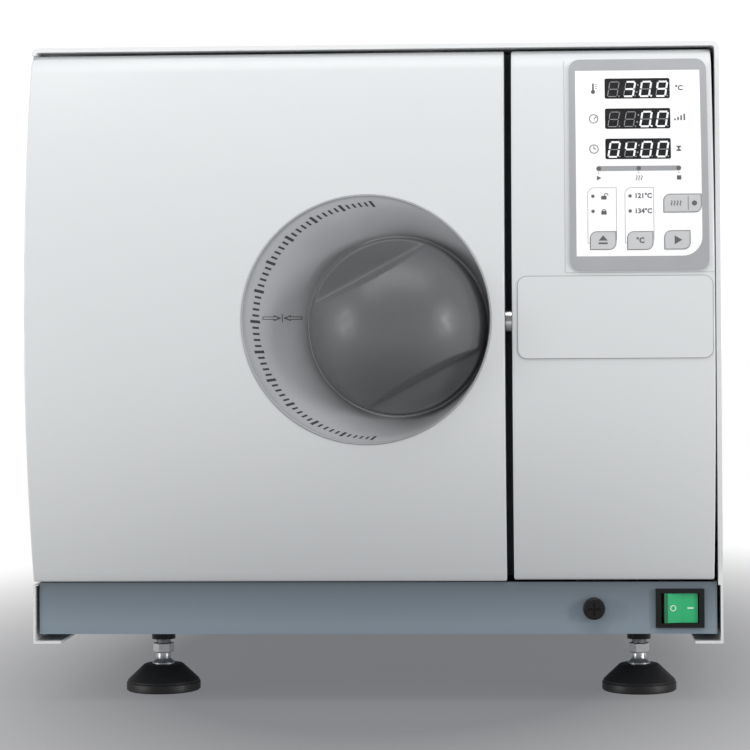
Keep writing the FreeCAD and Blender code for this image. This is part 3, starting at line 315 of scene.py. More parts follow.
def make_door_cover():
    """Bowed door skin with the round hole for the recess and notches for the hinges."""
    dish = lathe("dish_cutter", (DISH_X, CROWN - OVERRUN, DISH_Z), [(DISH_RADIUS, 0), (DISH_RADIUS, 40 * MM)],
                 "Y", 160)
    notches = []
    for middle in HINGE_HEIGHTS:
        notches.append(box("notch", (door_low.x - MM, door_low.x + NOTCH_WIDTH),
                           (FRONT - OVERRUN, FRONT + 30 * MM), (middle - NOTCH_HALF, middle + NOTCH_HALF)))
    shell = bowed_shell("door_skin", door_low, door_high, [dish, bolt_cutter(door_high.x), *notches])
    add_piece("door_skin", shell, "door_paint", "door", "door_paint", "door_cover", smooth=30)


def make_fascia():
    """Bowed control fascia with windows for the displays."""
    across = ((DISPLAY_LEFT - WINDOW_PLAY) * MM, (DISPLAY_RIGHT + WINDOW_PLAY) * MM)
    half = DISPLAY_HALF + WINDOW_PLAY
    windows = []
    for middle in DISPLAY_HEIGHTS:
        windows.append(box("window", across, (FRONT - 40 * MM, FRONT),
                           ((middle - half) * MM, (middle + half) * MM)))
    shell = bowed_shell("fascia_skin", fascia_low, fascia_high, [bolt_cutter(fascia_low.x), *windows])
    add_piece("fascia_skin", shell, "door_paint", "cabinet", "door_paint", "fascia_panel", smooth=30)


# ---- Round recess and knob ----

LIP = ((0.1, 3.0), (0.1, -0.1), (0.35, -0.5), (0.8, -0.6), (1.2, -0.3))  # mm inwards, behind the bow
RIM_DROP = 0.6 * MM  # the wall's top edge behind the bow
RIGHT_FALL = 0.35  # power by which the wall falls on its right, at once and steep
LEFT_FALL = 1.6  # and on its left, late and gentle
RIGHT_SPREAD = math.radians(85)  # where the right's fall has turned into the left's
RECESS_COLUMNS = 192
WALL_STEPS = 24
SHAFT_HOLE = 8.3 * MM
FLOOR_THICKNESS = 2 * MM


def recess_point(angle, share, lift=0.0):
    """A point on the recess, from the rim at share 0 to the floor at share 1."""
    rim = (DISH_X + RIM_RADIUS * math.cos(angle), DISH_Z + RIM_RADIUS * math.sin(angle))
    floor = (KNOB_X + FLOOR_RADIUS * math.cos(angle), KNOB_Z + FLOOR_RADIUS * math.sin(angle))
    x = rim[0] + (floor[0] - rim[0]) * share
    z = rim[1] + (floor[1] - rim[1]) * share
    away = min(1.0, abs(math.remainder(angle, math.tau)) / RIGHT_SPREAD)
    gentle = away * away * (3 - 2 * away)
    eased = share ** (RIGHT_FALL + (LEFT_FALL - RIGHT_FALL) * gentle)
    rim_y = bow_y(rim[1]) + RIM_DROP
    return (x, rim_y + (DISH_FLOOR - rim_y) * eased - lift, z)


def make_recess():
    """Scooped dish: a rounded lip on the bow, a wall that is gentle on its left, and a flat floor."""
    angles = [math.tau * step / RECESS_COLUMNS for step in range(RECESS_COLUMNS)]
    rows = []
    for inwards, depth in LIP:
        radius = DISH_RADIUS - inwards * MM
        row = []
        for angle in angles:
            z = DISH_Z + radius * math.sin(angle)
            row.append((DISH_X + radius * math.cos(angle), bow_y(z) + depth * MM, z))
        rows.append(row)
    for step in range(WALL_STEPS + 1):
        rows.append([recess_point(angle, step / WALL_STEPS) for angle in angles])
    for radius, depth in ((SHAFT_HOLE, 0), (SHAFT_HOLE, FLOOR_THICKNESS), (FLOOR_RADIUS, FLOOR_THICKNESS)):
        y = DISH_FLOOR + depth
        rows.append([(KNOB_X + radius * math.cos(angle), y, KNOB_Z + radius * math.sin(angle))
                     for angle in angles])
    add_piece("recess_dish", skin("recess_dish", rows), "recess_plastic", "door", "recess_plastic",
              "handle_recess", smooth=40)


DOME_EDGE = 56.9 * MM
RIM_TOP = 7.6 * MM  # height of the upright rim under the dome
RIM_RINGS = ((56.9, 6.9), (57.5, 6.3), (57.5, 0.8), (56.7, 0))  # mm: radius, height
SCOOP_TOP = 31.5 * MM  # where the scoop's wall leaves the crown
SCOOP_FOOT = 38.0 * MM  # where it meets the scoop's floor
SCOOP_FLOOR = 9.5 * MM
SCOOP_MIDDLE = 47 * MM  # lowest line of the hollowed floor
FLOOR_RISE = 1.6 * MM  # how far the floor rises towards FLOOR_REACH from there
FLOOR_REACH = 10 * MM
BEAD_HEIGHT = 0.7 * MM  # fine bead along the scoop's foot
BEAD_WIDTH = 0.5 * MM
SOFT_CORNER = 2.5 * MM  # rounding between dome, wall and floor
RIDGE_TILT = math.radians(28)
RIDGE_STEPS = 22
SIDE_STEPS = 16
KNOB_COLUMNS = 72


def smooth_min(first, second, width):
    """The smaller of two heights, with the corner between them rounded."""
    share = max(0.0, min(1.0, 0.5 + 0.5 * (second - first) / width))
    return second + (first - second) * share - width * share * (1 - share)


def knob_height(u, v):
    """Height of the knob over its base: a dome with a scoop on each side of the grip."""
    crown = KNOB_HEIGHT - RIM_TOP
    ball = (DOME_EDGE ** 2 + crown ** 2) / (2 * crown)
    dome = RIM_TOP + math.sqrt(max(0.0, ball ** 2 - u * u - v * v)) - (ball - crown)
    slope = (KNOB_HEIGHT - SCOOP_FLOOR) / (SCOOP_FOOT - SCOOP_TOP)
    wall = SCOOP_FLOOR + slope * (SCOOP_FOOT - abs(v))
    floor = SCOOP_FLOOR + FLOOR_RISE * ((abs(v) - SCOOP_MIDDLE) / FLOOR_REACH) ** 2
    bead = BEAD_HEIGHT * math.exp(-((abs(v) - SCOOP_FOOT) / BEAD_WIDTH) ** 2)
    scoop = bead - smooth_min(-wall, -floor, SOFT_CORNER)
    return max(RIM_TOP, smooth_min(dome, scoop, SOFT_CORNER))


def knob_spot(u, v, height):
    """From the grip's own axes to the machine's."""
    x = KNOB_X + u * math.cos(RIDGE_TILT) - v * math.sin(RIDGE_TILT)
    z = KNOB_Z + u * math.sin(RIDGE_TILT) + v * math.cos(RIDGE_TILT)
    return (x, KNOB_BASE - height, z)


def knob_levels():
    """Distances from the grip's middle line, close together on the scoops' walls."""
    past_foot = SCOOP_FOOT + MM
    start = math.asin(past_foot / DOME_EDGE)
    half = [SCOOP_TOP * step / RIDGE_STEPS for step in range(RIDGE_STEPS + 1)]
    for step in range(1, SIDE_STEPS + 1):
        half.append(SCOOP_TOP + (past_foot - SCOOP_TOP) * step / SIDE_STEPS)
    for step in range(1, SIDE_STEPS):
        half.append(DOME_EDGE * math.sin(start + (math.pi / 2 - start) * step / SIDE_STEPS))
    return [-v for v in reversed(half[1:])] + half


def make_knob():
    """Dome knob meshed in strips along the grip, so that the scoops' edges are crisp."""
    work = bmesh.new()
    rows = []
    for v in knob_levels():
        reach = math.sqrt(DOME_EDGE ** 2 - v * v)
        row = []
        for column in range(KNOB_COLUMNS + 1):
            u = reach * math.sin(math.pi / 2 * (2 * column / KNOB_COLUMNS - 1))
            row.append(work.verts.new(knob_spot(u, v, knob_height(u, v))))
        rows.append(row)
    for row, after in zip(rows, rows[1:]):
        for column in range(KNOB_COLUMNS):
            work.faces.new((row[column], row[column + 1], after[column + 1], after[column]))
    poles = [work.verts.new(knob_spot(0, side * DOME_EDGE, RIM_TOP)) for side in (-1, 1)]
    for pole, row in zip(poles, (rows[0], rows[-1])):
        for column in range(KNOB_COLUMNS):
            work.faces.new((pole, row[column], row[column + 1]))
    rim = [poles[0]] + [row[-1] for row in rows] + [poles[1]] + [row[0] for row in reversed(rows)]
    centre = Vector(knob_spot(0, 0, 0))
    for radius, height in RIM_RINGS:
        ring = []
        for vertex in rim:
            outwards = Vector((vertex.co.x - centre.x, 0, vertex.co.z - centre.z)).normalized()
            ring.append(work.verts.new(centre + outwards * radius * MM - Vector((0, height * MM, 0))))
        for step, vertex in enumerate(rim):
            following = (step + 1) % len(rim)
            work.faces.new((vertex, rim[following], ring[following], ring[step]))
        rim = ring
    work.faces.new(rim)
    add_piece("grip_knob", to_mesh("grip_knob", work), "knob_plastic", "latch_knob", "knob_plastic", "knob",
              smooth=50)


MARKS = 61
MARK_PITCH = 3  # degrees
FIRST_MARK = 90
MAJOR_MARK = (0.72, 0.12, 0.27)  # half width in degrees, start and end between rim and floor
MINOR_MARK = (0.52, 0.15, 0.25)


def make_recess_marks():
    """A plain ring of index marks on the left half of the recess, in place of lettering."""
    work = bmesh.new()
    for number in range(MARKS):
        middle = math.radians(FIRST_MARK + MARK_PITCH * number)
        half_width, top, bottom = MINOR_MARK if number % 5 else MAJOR_MARK
        left = middle - math.radians(half_width)
        right = middle + math.radians(half_width)
        corners = []
        for lift in (0.12 * MM, -0.2 * MM):
            for angle, share in ((left, top), (right, top), (right, bottom), (left, bottom)):
                corners.append(work.verts.new(recess_point(angle, share, lift)))
        work.faces.new(corners[:4])
        work.faces.new(corners[4:])
        for step in range(4):
            following = (step + 1) % 4
            work.faces.new((corners[step], corners[following], corners[4 + following], corners[4 + step]))
    add_piece("recess_marks", to_mesh("recess_marks", work), "print_black", "door", "recess_plastic")


# ---- Printed graphics: flat outlines in millimetres, sliced and bent onto a surface ----

FLAT_HALF = 0.5  # half the thickness of a flat solid before it is laid down
SLICE = 2  # height of the slices that follow a curved surface
WELD = 0.0005


def converted(data):
    """The mesh of a curve or text."""
    item = bpy.data.objects.new("flat", data)
    bpy.context.scene.collection.objects.link(item)
    evaluated = item.evaluated_get(bpy.context.evaluated_depsgraph_get())
    mesh = bpy.data.meshes.new_from_object(evaluated)
    bpy.data.objects.remove(item)
    return mesh


def curve_mesh(outlines):
    """A thin flat solid from closed outlines; an outline inside another is a hole."""
    data = bpy.data.curves.new("print", "CURVE")
    data.dimensions = "2D"
    data.fill_mode = "BOTH"
    data.extrude = FLAT_HALF
    for outline in outlines:
        spline = data.splines.new("POLY")
        spline.points.add(len(outline) - 1)
        for point, (x, z) in zip(spline.points, outline):
            point.co = (x, z, 0, 1)
        spline.use_cyclic_u = True
    return converted(data)


def text_mesh(words, size, x, z):
    """Numbers and unit signs as a thin flat solid, centred on a point."""
    data = bpy.data.curves.new("figures", "FONT")
    data.body = words
    data.size = size
    data.align_x = "CENTER"
    data.align_y = "CENTER"
    data.extrude = FLAT_HALF
    data.offset = 0.035 * size  # a little bolder than the font
    data.resolution_u = 3
    mesh = converted(data)
    mesh.transform(Matrix.Translation((x, z, 0)))
    return mesh


def on_bow(x, z, grow):
    """A place on the bowed fronts, or a distance in front of them."""
    return (x, bow_y(z, grow), z)


def printed(name, meshes, low, high, material, body, slot, surface=on_bow):
    """Merge flat solids, slice them finely and lay them on a surface between two heights above it."""
    work = bmesh.new()
    for mesh in meshes:
        work.from_mesh(mesh)
    bmesh.ops.remove_doubles(work, verts=work.verts, dist=WELD)
    heights = [vertex.co.y for vertex in work.verts]
    level = min(heights) + SLICE
    while level < max(heights):
        everything = work.verts[:] + work.edges[:] + work.faces[:]
        bmesh.ops.bisect_plane(work, geom=everything, dist=WELD, plane_co=(0, level, 0), plane_no=(0, 1, 0))
        level += SLICE
    for vertex in work.verts:
        share = (vertex.co.z + FLAT_HALF) / (2 * FLAT_HALF)
        vertex.co = surface(vertex.co.x * MM, vertex.co.y * MM, (low + (high - low) * share) * MM)
    add_piece(name, to_mesh(name, work), material, body, slot, smooth=30)


def rounded(left, low, right, high, radii):
    """Upright rectangle whose corners, from upper left clockwise, have these radii."""
    top_left, top_right, bottom_right, bottom_left = radii
    points = []
    for radius, x, z, start in ((top_right, right, high, 90), (bottom_right, right, low, 0),
                                (bottom_left, left, low, -90), (top_left, left, high, -180)):
        centre = (x - radius if x == right else x + radius, z - radius if z == high else z + radius)
        points += arc(centre, radius, start, start - 90, 10) if radius else [(x, z)]
    return points


def disc(x, z, radius):
    """Outline of a round spot."""
    return arc((x, z), radius, 0, 350, 35)


def stroke(start, end, width):
    """Outline of a straight line of some width."""
    along = Vector(end) - Vector(start)
    side = Vector((-along.y, along.x)).normalized() * width / 2
    return [tuple(Vector(start) + side), tuple(Vector(end) + side), tuple(Vector(end) - side),
            tuple(Vector(start) - side)]


def spot(x, z, radius):
    """A round spot as a flat solid."""
    return curve_mesh([disc(x, z, radius)])


def hoop(x, z, radius, width):
    """A ring as a flat solid."""
    return curve_mesh([disc(x, z, radius), disc(x, z, radius - width)])


def line(start, end, width):
    """A straight line as a flat solid."""
    return curve_mesh([stroke(start, end, width)])


# ---- Keypad, in millimetres ----

DISPLAY_HEIGHTS = (398.5, 378.6, 358.8)  # middles of the displays: temperature, pressure, time
DISPLAY_HALF = 6.6
DISPLAY_LEFT = 150.6
DISPLAY_RIGHT = 192.3
DIGIT_WIDTH = 6.0
DIGIT_HEIGHT = 9.6
DIGIT_PITCH = 10.35
DIGIT_SLANT = math.tan(math.radians(10))
DIGIT_GAP = 0.42  # a bar stops this short of its digit's corners
LIT_BAR = 1.15  # widths of the bars
UNLIT_BAR = 0.42
LIT_POINT = 0.62  # radii of the decimal points
UNLIT_POINT = 0.4
SEGMENTS = {
    "a": ((0, 1), (1, 1)), "b": ((1, 1), (1, 0.5)), "c": ((1, 0.5), (1, 0)), "d": ((0, 0), (1, 0)),
    "e": ((0, 0.5), (0, 0)), "f": ((0, 1), (0, 0.5)), "g": ((0, 0.5), (1, 0.5)),
}
LIT = {" ": "", "0": "abcdef", "3": "abcdg", "4": "bcfg", "9": "abcdfg"}
READINGS = (" 309", "  00", "0400")
POINTS = (2, 2, None)  # the digit that each display's decimal point follows
KEYS = {
    # left, low, right, high
    "key_release": (140.6, 294.2, 156.4, 305.1),
    "key_temperature": (164.3, 294.0, 180.0, 305.0),
    "key_start": (187.9, 294.1, 203.6, 305.4),
    "key_dry": (187.6, 317.8, 211.0, 328.9),
}
KEY_CORNER = 4  # radius of a key's upper left and lower right corners
CUT_OUT = 0.25  # the white field ends this far from the keys
LINE = 0.3  # width of the thin lines
GROUPS = {"key_release": 138.7, "key_temperature": 162.5}  # left edges of the groups
GROUP_LOW = 297.8
GROUP_HIGH = 333.8
GROUP_WIDTH = 18.6
PRINT_FOOT = 1.25  # prints start here in front of the bow, inside the white field
KEY_TOP = 1.7  # a key's surface in front of the bow
DIAL_X = 143.2
LAMP_HEIGHTS = (328.2, 318.5)


def segment(origin, name, width):
    """Outline of one bar of a slanted digit."""
    points = []
    for share_x, share_z in SEGMENTS[name]:
        z = share_z * DIGIT_HEIGHT
        points.append(Vector((origin[0] + share_x * DIGIT_WIDTH + z * DIGIT_SLANT, origin[1] + z)))
    along = (points[1] - points[0]).normalized() * DIGIT_GAP
    return stroke(points[0] + along, points[1] - along, width)


def make_displays():
    """Slanted digits on the dark displays: thin grey bars, and broad white ones where they are lit."""
    faint = []
    bright = []
    for middle, reading, point in zip(DISPLAY_HEIGHTS, READINGS, POINTS):
        for place, sign in enumerate(reading):
            origin = (DISPLAY_LEFT + 1.7 + DIGIT_PITCH * place, middle - 5.2)
            for name in SEGMENTS:
                lit = name in LIT[sign]
                bar = curve_mesh([segment(origin, name, LIT_BAR if lit else UNLIT_BAR)])
                (bright if lit else faint).append(bar)
            lit = place == point
            decimal = spot(origin[0] + 7.4, origin[1] + 0.2, LIT_POINT if lit else UNLIT_POINT)
            (bright if lit else faint).append(decimal)
        for rise, shift in ((2.3, 0.4), (-2.3, -0.4)):
            faint.append(spot(DISPLAY_LEFT + 21 + shift, middle + rise, 0.5))
    printed("digits_unlit", faint, 1.0, 1.06, "digit_grey", "cabinet", "display_glass")
    printed("digits_lit", bright, 1.0, 1.1, "digit_white", "cabinet", "display_glass")


def key_outline(name, grow):
    """A key's leaf shape, grown outwards."""
    left, low, right, high = KEYS[name]
    return rounded(left - grow, low - grow, right + grow, high + grow, (KEY_CORNER + grow, 0) * 2)


def group_outline(key):
    """Line round a group of signs, open below, where it meets the line round its key."""
    left = GROUPS[key]
    right = left + GROUP_WIDTH
    key_left = KEYS[key][0] - CUT_OUT - LINE
    key_right = KEYS[key][2] + CUT_OUT + LINE
    sides = []
    for inset in (0.0, LINE):
        low = GROUP_LOW + inset
        loop = rounded(left + inset, low, right - inset, GROUP_HIGH - inset, (4.5 - inset, 0, 3.2 - inset, 0))
        corner = loop.index((left + inset, low))
        path = [(key_left, low)] + loop[corner:] + loop[:corner]
        sides.append([(x, z) for x, z in path if z > GROUP_LOW + 3.5 or not key_left < x < key_right])
    return sides[0] + sides[1][::-1]


def make_keypad_field():
    """White field of the keypad with cut-outs for displays and keys."""
    field = [rounded(131.5, 289.6, 211.7, 410.5, (0, 0, 12.5, 0))]
    for middle in DISPLAY_HEIGHTS:
        field.append(rounded(DISPLAY_LEFT - 0.15, middle - DISPLAY_HALF - 0.15, DISPLAY_RIGHT + 0.15,
                             middle + DISPLAY_HALF + 0.15, (1.2,) * 4))
    field += [key_outline(name, CUT_OUT) for name in KEYS]
    printed("keypad_field", [curve_mesh(field)], 1.15, 1.3, "keypad_white", "cabinet", "keypad_film")


def thermometer(x, z):
    """Bulb and tube, with three marks beside them."""
    tube = curve_mesh([rounded(x - 0.55, z - 1.6, x + 0.55, z + 3.6, (0.55,) * 4)])
    marks = [line((x + 1.3, z + rise), (x + 2.6, z + rise), 0.4) for rise in (0.2, 1.6, 3.0)]
    return [spot(x, z - 2.1, 1.35), tube, *marks]


def padlock(x, z, opened):
    """Little padlock, shut or with its shackle raised to one side."""
    body = rounded(x - 1.7, z - 2.0, x + 1.7, z + 0.4, (0.4,) * 4)
    middle = x + 1.5 if opened else x
    top = z + 0.9 if opened else z + 0.2
    left_foot = z + 0.1
    right_foot = z + 0.6 if opened else z + 0.1
    shackle = arc((middle, top), 1.35, 0, 180, 12)
    shackle += [(middle - 1.35, left_foot), (middle - 0.8, left_foot)]
    shackle += arc((middle, top), 0.8, 180, 0, 12)
    shackle += [(middle + 0.8, right_foot), (middle + 1.35, right_foot)]
    return [curve_mesh([body]), curve_mesh([shackle])]


def waves(x, z, count, width, pitch):
    """Rising steam: wavy lines side by side."""
    meshes = []
    for number in range(count):
        middle = x + (number - (count - 1) / 2) * pitch
        left = []
        right = []
        for step in range(13):
            rise = -1.6 + 3.2 * step / 12
            sway = 0.35 * math.sin(rise * 2.4)
            left.append((middle + sway - width / 2, z + rise))
            right.append((middle + sway + width / 2, z + rise))
        meshes.append(curve_mesh([left + right[::-1]]))
    return meshes


def play_sign(x, z, half_width, half_height):
    """Triangle that points right."""
    corners = [(x - half_width, z - half_height), (x + half_width, z), (x - half_width, z + half_height)]
    return curve_mesh([corners])


def hourglass(x, z):
    """Two triangles that meet at their tips."""
    return curve_mesh([[(x - 1.9, z + 1.7), (x + 1.9, z + 1.7), (x + 0.25, z), (x + 1.9, z - 1.7),
                        (x - 1.9, z - 1.7), (x - 0.25, z)]])


def make_keypad_signs():
    """Pictograms, numbers and units in place of the words on the keypad."""
    temperature, pressure, clock = DISPLAY_HEIGHTS
    signs = thermometer(143, temperature)
    signs.append(hoop(DIAL_X, pressure, 3.0, 0.55))
    signs.append(line((DIAL_X, pressure - 0.3), (DIAL_X + 1.7, pressure + 1.5), 0.6))
    signs.append(hoop(DIAL_X, clock, 3.0, 0.55))
    signs.append(line((DIAL_X, clock - 0.2), (DIAL_X, clock + 2.0), 0.55))
    signs.append(line((DIAL_X, clock), (DIAL_X + 1.6, clock), 0.55))
    signs.append(text_mesh("°C", 4.6, 198.3, temperature))
    for step in range(4):
        x = 195.4 + 2 * step
        signs.append(line((x, pressure - 1.4), (x, pressure - 0.2 + step), 1.0))
    signs.append(hourglass(197.5, clock))
    for x in (146.0, 171.7, 197.3):
        signs.append(line((x, 344.0), (x, 342.6), LINE))
    signs.append(play_sign(146.3, 339.9, 1.4, 1.6))
    signs += waves(171.9, 339.9, 3, 0.5, 1.6)
    signs.append(curve_mesh([rounded(196.0, 338.5, 198.8, 341.3, (0.3,) * 4)]))
    signs += padlock(149.2, 328.0, True)
    signs += padlock(149.2, 318.3, False)
    signs.append(text_mesh("121°C", 4.3, 174.3, 328.2))
    signs.append(text_mesh("134°C", 4.3, 174.3, 318.4))
    printed("keypad_signs", signs, PRINT_FOOT, 1.38, "print_dark", "cabinet", "keypad_film")


def make_keypad_lines():
    """Thin lines round each key and each group of signs."""
    lines = [curve_mesh([key_outline(name, CUT_OUT + LINE), key_outline(name, CUT_OUT)]) for name in KEYS]
    lines += [curve_mesh([group_outline(key)]) for key in GROUPS]
    printed("keypad_lines", lines, PRINT_FOOT, 1.36, "print_and_shadow_grey", "cabinet", "keypad_film")


def make_keypad_lamps():
    """Status lamps, and the progress bar with its three lamps."""
    lamps = [spot(x, z, 1.1) for x in (142.2, 165.9) for z in LAMP_HEIGHTS]
    printed("keypad_lamps", lamps, PRINT_FOOT, 1.4, "lamp_dark", "cabinet", "keypad_film")
    bar = [curve_mesh([rounded(144.5, 344.4, 198.9, 347.7, (1.64,) * 4)])]
    printed("progress_bar", bar, PRINT_FOOT, 1.34, "print_pale", "cabinet", "keypad_film")
    stops = [spot(x, 346.05, 1.45) for x in (146.2, 171.7, 197.2)]
    printed("progress_lamps", stops, 1.3, 1.44, "lamp_dark", "cabinet", "keypad_film")


def make_key_signs():
    """Signs on the four keys, each riding on its key, and the drying key's lamp."""
    release = [curve_mesh([[(145.6, 299.6), (151.4, 299.6), (148.5, 303.0)]]),
               line((145.6, 297.9), (151.4, 297.9), 1.1)]
    dry = waves(195.2, 323.4, 4, 0.65, 1.9) + [line((202.9, 318.9), (202.9, 327.9), 0.35)]
    signs = {
        "release": release,
        "temperature": [text_mesh("°C", 4.8, 172.2, 299.5)],
        "start": [play_sign(196.4, 299.8, 2.4, 2.9)],
        "dry": dry,
    }
    for key, meshes in signs.items():
        printed("sign_" + key, meshes, KEY_TOP, KEY_TOP + 0.08, "print_dark", "key_" + key, "key_film")
    lamp = [spot(206.9, 323.3, 1.65)]
    printed("lamp_dry", lamp, KEY_TOP, KEY_TOP + 0.12, "lamp_dark", "key_dry", "key_film")


def make_plate_line():
    """Painted shadow lines: round the blank plate, and along the faint step in the fascia round the keypad.
    """
    left, low = plate_low.x / MM, plate_low.z / MM
    right, high = plate_high.x / MM, plate_high.z / MM
    # painted shadow in the gap round the blank plate
    outline = [rounded(left - 0.35, low - 0.35, right + 0.35, high + 0.35, (6,) * 4),
               rounded(left, low, right, high, (5.6,) * 4)]
    printed("plate_line", [curve_mesh(outline)], -0.1, 0.35, "print_and_shadow_grey", "cabinet", "door_paint")
    # painted shade along the fascia's step round the keypad
    corner = (124.2, 279.3)
    step = [line(corner, (corner[0], 417.5), 0.35), line(corner, (219.0, corner[1]), 0.35)]
    printed("panel_step_shadow", step, -0.1, 0.12, "step_shadow_faint", "cabinet", "door_paint")


# ---- Sign in the recess ----

ARROWS_X = -58.5  # where the two arrows meet, in millimetres
ARROWS_Z = 251.5
ARROW_LINE = 0.4


def on_recess(x, z, grow):
    """The recess at a place: find the circle between rim and floor that passes through it."""
    place = Vector((x - DISH_X, z - DISH_Z))
    shift = Vector((KNOB_X - DISH_X, KNOB_Z - DISH_Z))
    narrowing = RIM_RADIUS - FLOOR_RADIUS
    square = shift.dot(shift) - narrowing ** 2
    middle = place.dot(shift) - RIM_RADIUS * narrowing
    rest = place.dot(place) - RIM_RADIUS ** 2
    share = (middle + math.sqrt(middle ** 2 - square * rest)) / square
    circle = place - share * shift
    surface = recess_point(math.atan2(circle.y, circle.x), share)
    return (x, surface[1] - grow, z)


def make_recess_sign():
    """Two hollow arrows that meet at a line: the closed position of the grip."""
    z = ARROWS_Z
    meshes = []
    for side in (-1, 1):
        tip = ARROWS_X + side * 0.8
        neck = ARROWS_X + side * 5.2
        tail = ARROWS_X + side * 12
        outer = [(tip, z), (neck, z + 1.9), (neck, z + 1.0), (tail, z + 1.0), (tail, z - 1.0),
                 (neck, z - 1.0), (neck, z - 1.9)]
        tip += side * 1.5
        neck -= side * 0.45
        tail -= side * ARROW_LINE
        inner = [(tip, z), (neck, z + 1.15), (neck, z + 0.6), (tail, z + 0.6), (tail, z - 0.6),
                 (neck, z - 0.6), (neck, z - 1.15)]
        meshes.append(curve_mesh([outer, inner]))
    meshes.append(line((ARROWS_X, z - 2.6), (ARROWS_X, z + 2.6), ARROW_LINE))
    printed("recess_sign", meshes, -0.3, 0.12, "print_black", "door", "recess_plastic", surface=on_recess)


# ---- Switch and feet ----

SWITCH_X = (bezel_low.x + bezel_high.x) / 2
SWITCH_Z = (bezel_low.z + bezel_high.z) / 2
ROCKER_TURN = math.radians(6)  # how far the rocker leans at rest
ROCKER_FALL = math.atan(1.3 / 10.8)  # each half of the rocker slopes outwards by this
ROCKER_NOSE = 5.9 * MM  # from the pivot to the crest
ROCKER_PIVOT = FRONT + 7.5 * MM
FEET = ("front_left", "front_right", "rear_left", "rear_right")
# Turned profiles in millimetres: radius, height over the bench
PAD = ((18, 0.6), (18.6, 0), (24.2, 0), (25, 0.8), (25, 5.2), (24.7, 5.7), (24.2, 6.0), (24.2, 6.9),
       (23.6, 7.6), (13.6, 17.0), (12.7, 17.5))
STUD_FOOT = ((6.9, 17.5), (7.6, 17.7), (7.6, 18.6), (5.6, 20.4), (4.9, 21.4), (4.9, 25.3))
THREAD_CREST = 4.9
THREAD_ROOT = 4.35
THREAD_PITCH = 0.9
THREAD_LOW = 31.8
STUD_TOP = 4.3  # radius of the stud's end
NUT = ((25.2, 0.93), (25.8, 1.0), (31.2, 1.0), (31.8, 0.93))  # height, share of the size
NUT_RADIUS = 7 * MM
NUT_TURN = 12  # degrees


def make_switch():
    """Signs on the rocker and the darker strip at its raised end."""
    crest_x = SWITCH_X + ROCKER_NOSE * math.sin(ROCKER_TURN)
    crest_y = ROCKER_PIVOT - ROCKER_NOSE * math.cos(ROCKER_TURN)

    def on_rocker(x, z, grow):
        """A place on the rocker, whose halves fall away from its crest."""
        across = x - crest_x
        fall = ROCKER_FALL if across < 0 else -ROCKER_FALL
        return (x, crest_y + across * math.tan(ROCKER_TURN + fall) - grow, z)

    x, z = SWITCH_X / MM, SWITCH_Z / MM
    signs = [hoop(x - 4.4, z, 1.95, 0.5), line((x + 4.8, z), (x + 8.6, z), 0.8)]
    printed("rocker_signs", signs, -0.1, 0.12, "print_white", "rocker", "green_lens", surface=on_rocker)
    strip = [curve_mesh([rounded(x - 10.2, z - 9.3, x - 7.9, z + 9.3, (0.3,) * 4)])]
    printed("rocker_end", strip, -0.1, 0.08, "lens_dark", "rocker", "green_lens", surface=on_rocker)


def turned(name, centre, profile, steps=64):
    """A foot's part, turned about its upright axis from a profile in millimetres."""
    return lathe(name, centre, [(radius * MM, z * MM) for radius, z in profile], steps=steps)


def stud_profile(top):
    """The stud's collar and neck, then a thread up to its end."""
    profile = list(STUD_FOOT)
    z = THREAD_LOW
    while z < top - 0.8:
        profile += [(THREAD_CREST, z), (THREAD_ROOT, z + THREAD_PITCH / 2)]
        z += THREAD_PITCH
    return profile + [(STUD_TOP, top)]


def make_feet():
    """Turned foot pads and threaded studs with their hexagons."""
    for place in FEET:
        body = "foot_" + place
        low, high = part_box("foot_pad_" + place)
        centre = ((low.x + high.x) / 2, (low.y + high.y) / 2, 0)
        name = "pad_" + place
        add_piece(name, turned(name, centre, PAD), "foot_rubber", body, "foot_rubber", "foot_pad_" + place)
        name = "stud_" + place
        profile = stud_profile(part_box("foot_stud_" + place)[1].z / MM)
        add_piece(name, turned(name, centre, profile, 40), "zinc_steel", body, "bright_steel",
                  "foot_stud_" + place)
        rows = []
        for height, share in NUT:
            ring = []
            for corner in range(6):
                angle = math.radians(60 * corner + NUT_TURN)
                ring.append((centre[0] + NUT_RADIUS * share * math.cos(angle),
                             centre[1] + NUT_RADIUS * share * math.sin(angle), height * MM))
            rows.append(ring)
        hexagon = skin("stud_hex", rows, "cap")
        add_piece("stud_hex_" + place, hexagon, "zinc_steel", body, "zinc_steel", smooth=20)


# ---- Materials ----

def shader(name, colour, rough, metal=0.0, **sockets):
    """A Principled material with its plain values on the shader's own sockets."""
    material = bpy.data.materials.new(name)
    material.use_nodes = True
    node = material.node_tree.nodes["Principled BSDF"]
    node.inputs["Base Color"].default_value = (*colour, 1)
    node.inputs["Roughness"].default_value = rough
    node.inputs["Metallic"].default_value = metal
    for socket, value in sockets.items():
        node.inputs[socket.replace("_", " ")].default_value = value
    return material, node


def place_node(material, vector=None):
    """Object coordinates, stretched by a scale where one is given."""
    tree = material.node_tree
    coords = tree.nodes.new("ShaderNodeTexCoord")
    if vector is None:
        return coords.outputs["Object"]
    mapping = tree.nodes.new("ShaderNodeMapping")
    mapping.inputs["Scale"].default_value = vector
    tree.links.new(coords.outputs["Object"], mapping.inputs["Vector"])
    return mapping.outputs["Vector"]


def noise(material, scale, detail, stretch=None):
    """Soft noise over the object, its grain stretched where a scale is given."""
    tree = material.node_tree
    node = tree.nodes.new("ShaderNodeTexNoise")
    node.inputs["Scale"].default_value = scale
    node.inputs["Detail"].default_value = detail
    tree.links.new(place_node(material, stretch), node.inputs["Vector"])
    return node.outputs["Fac"]


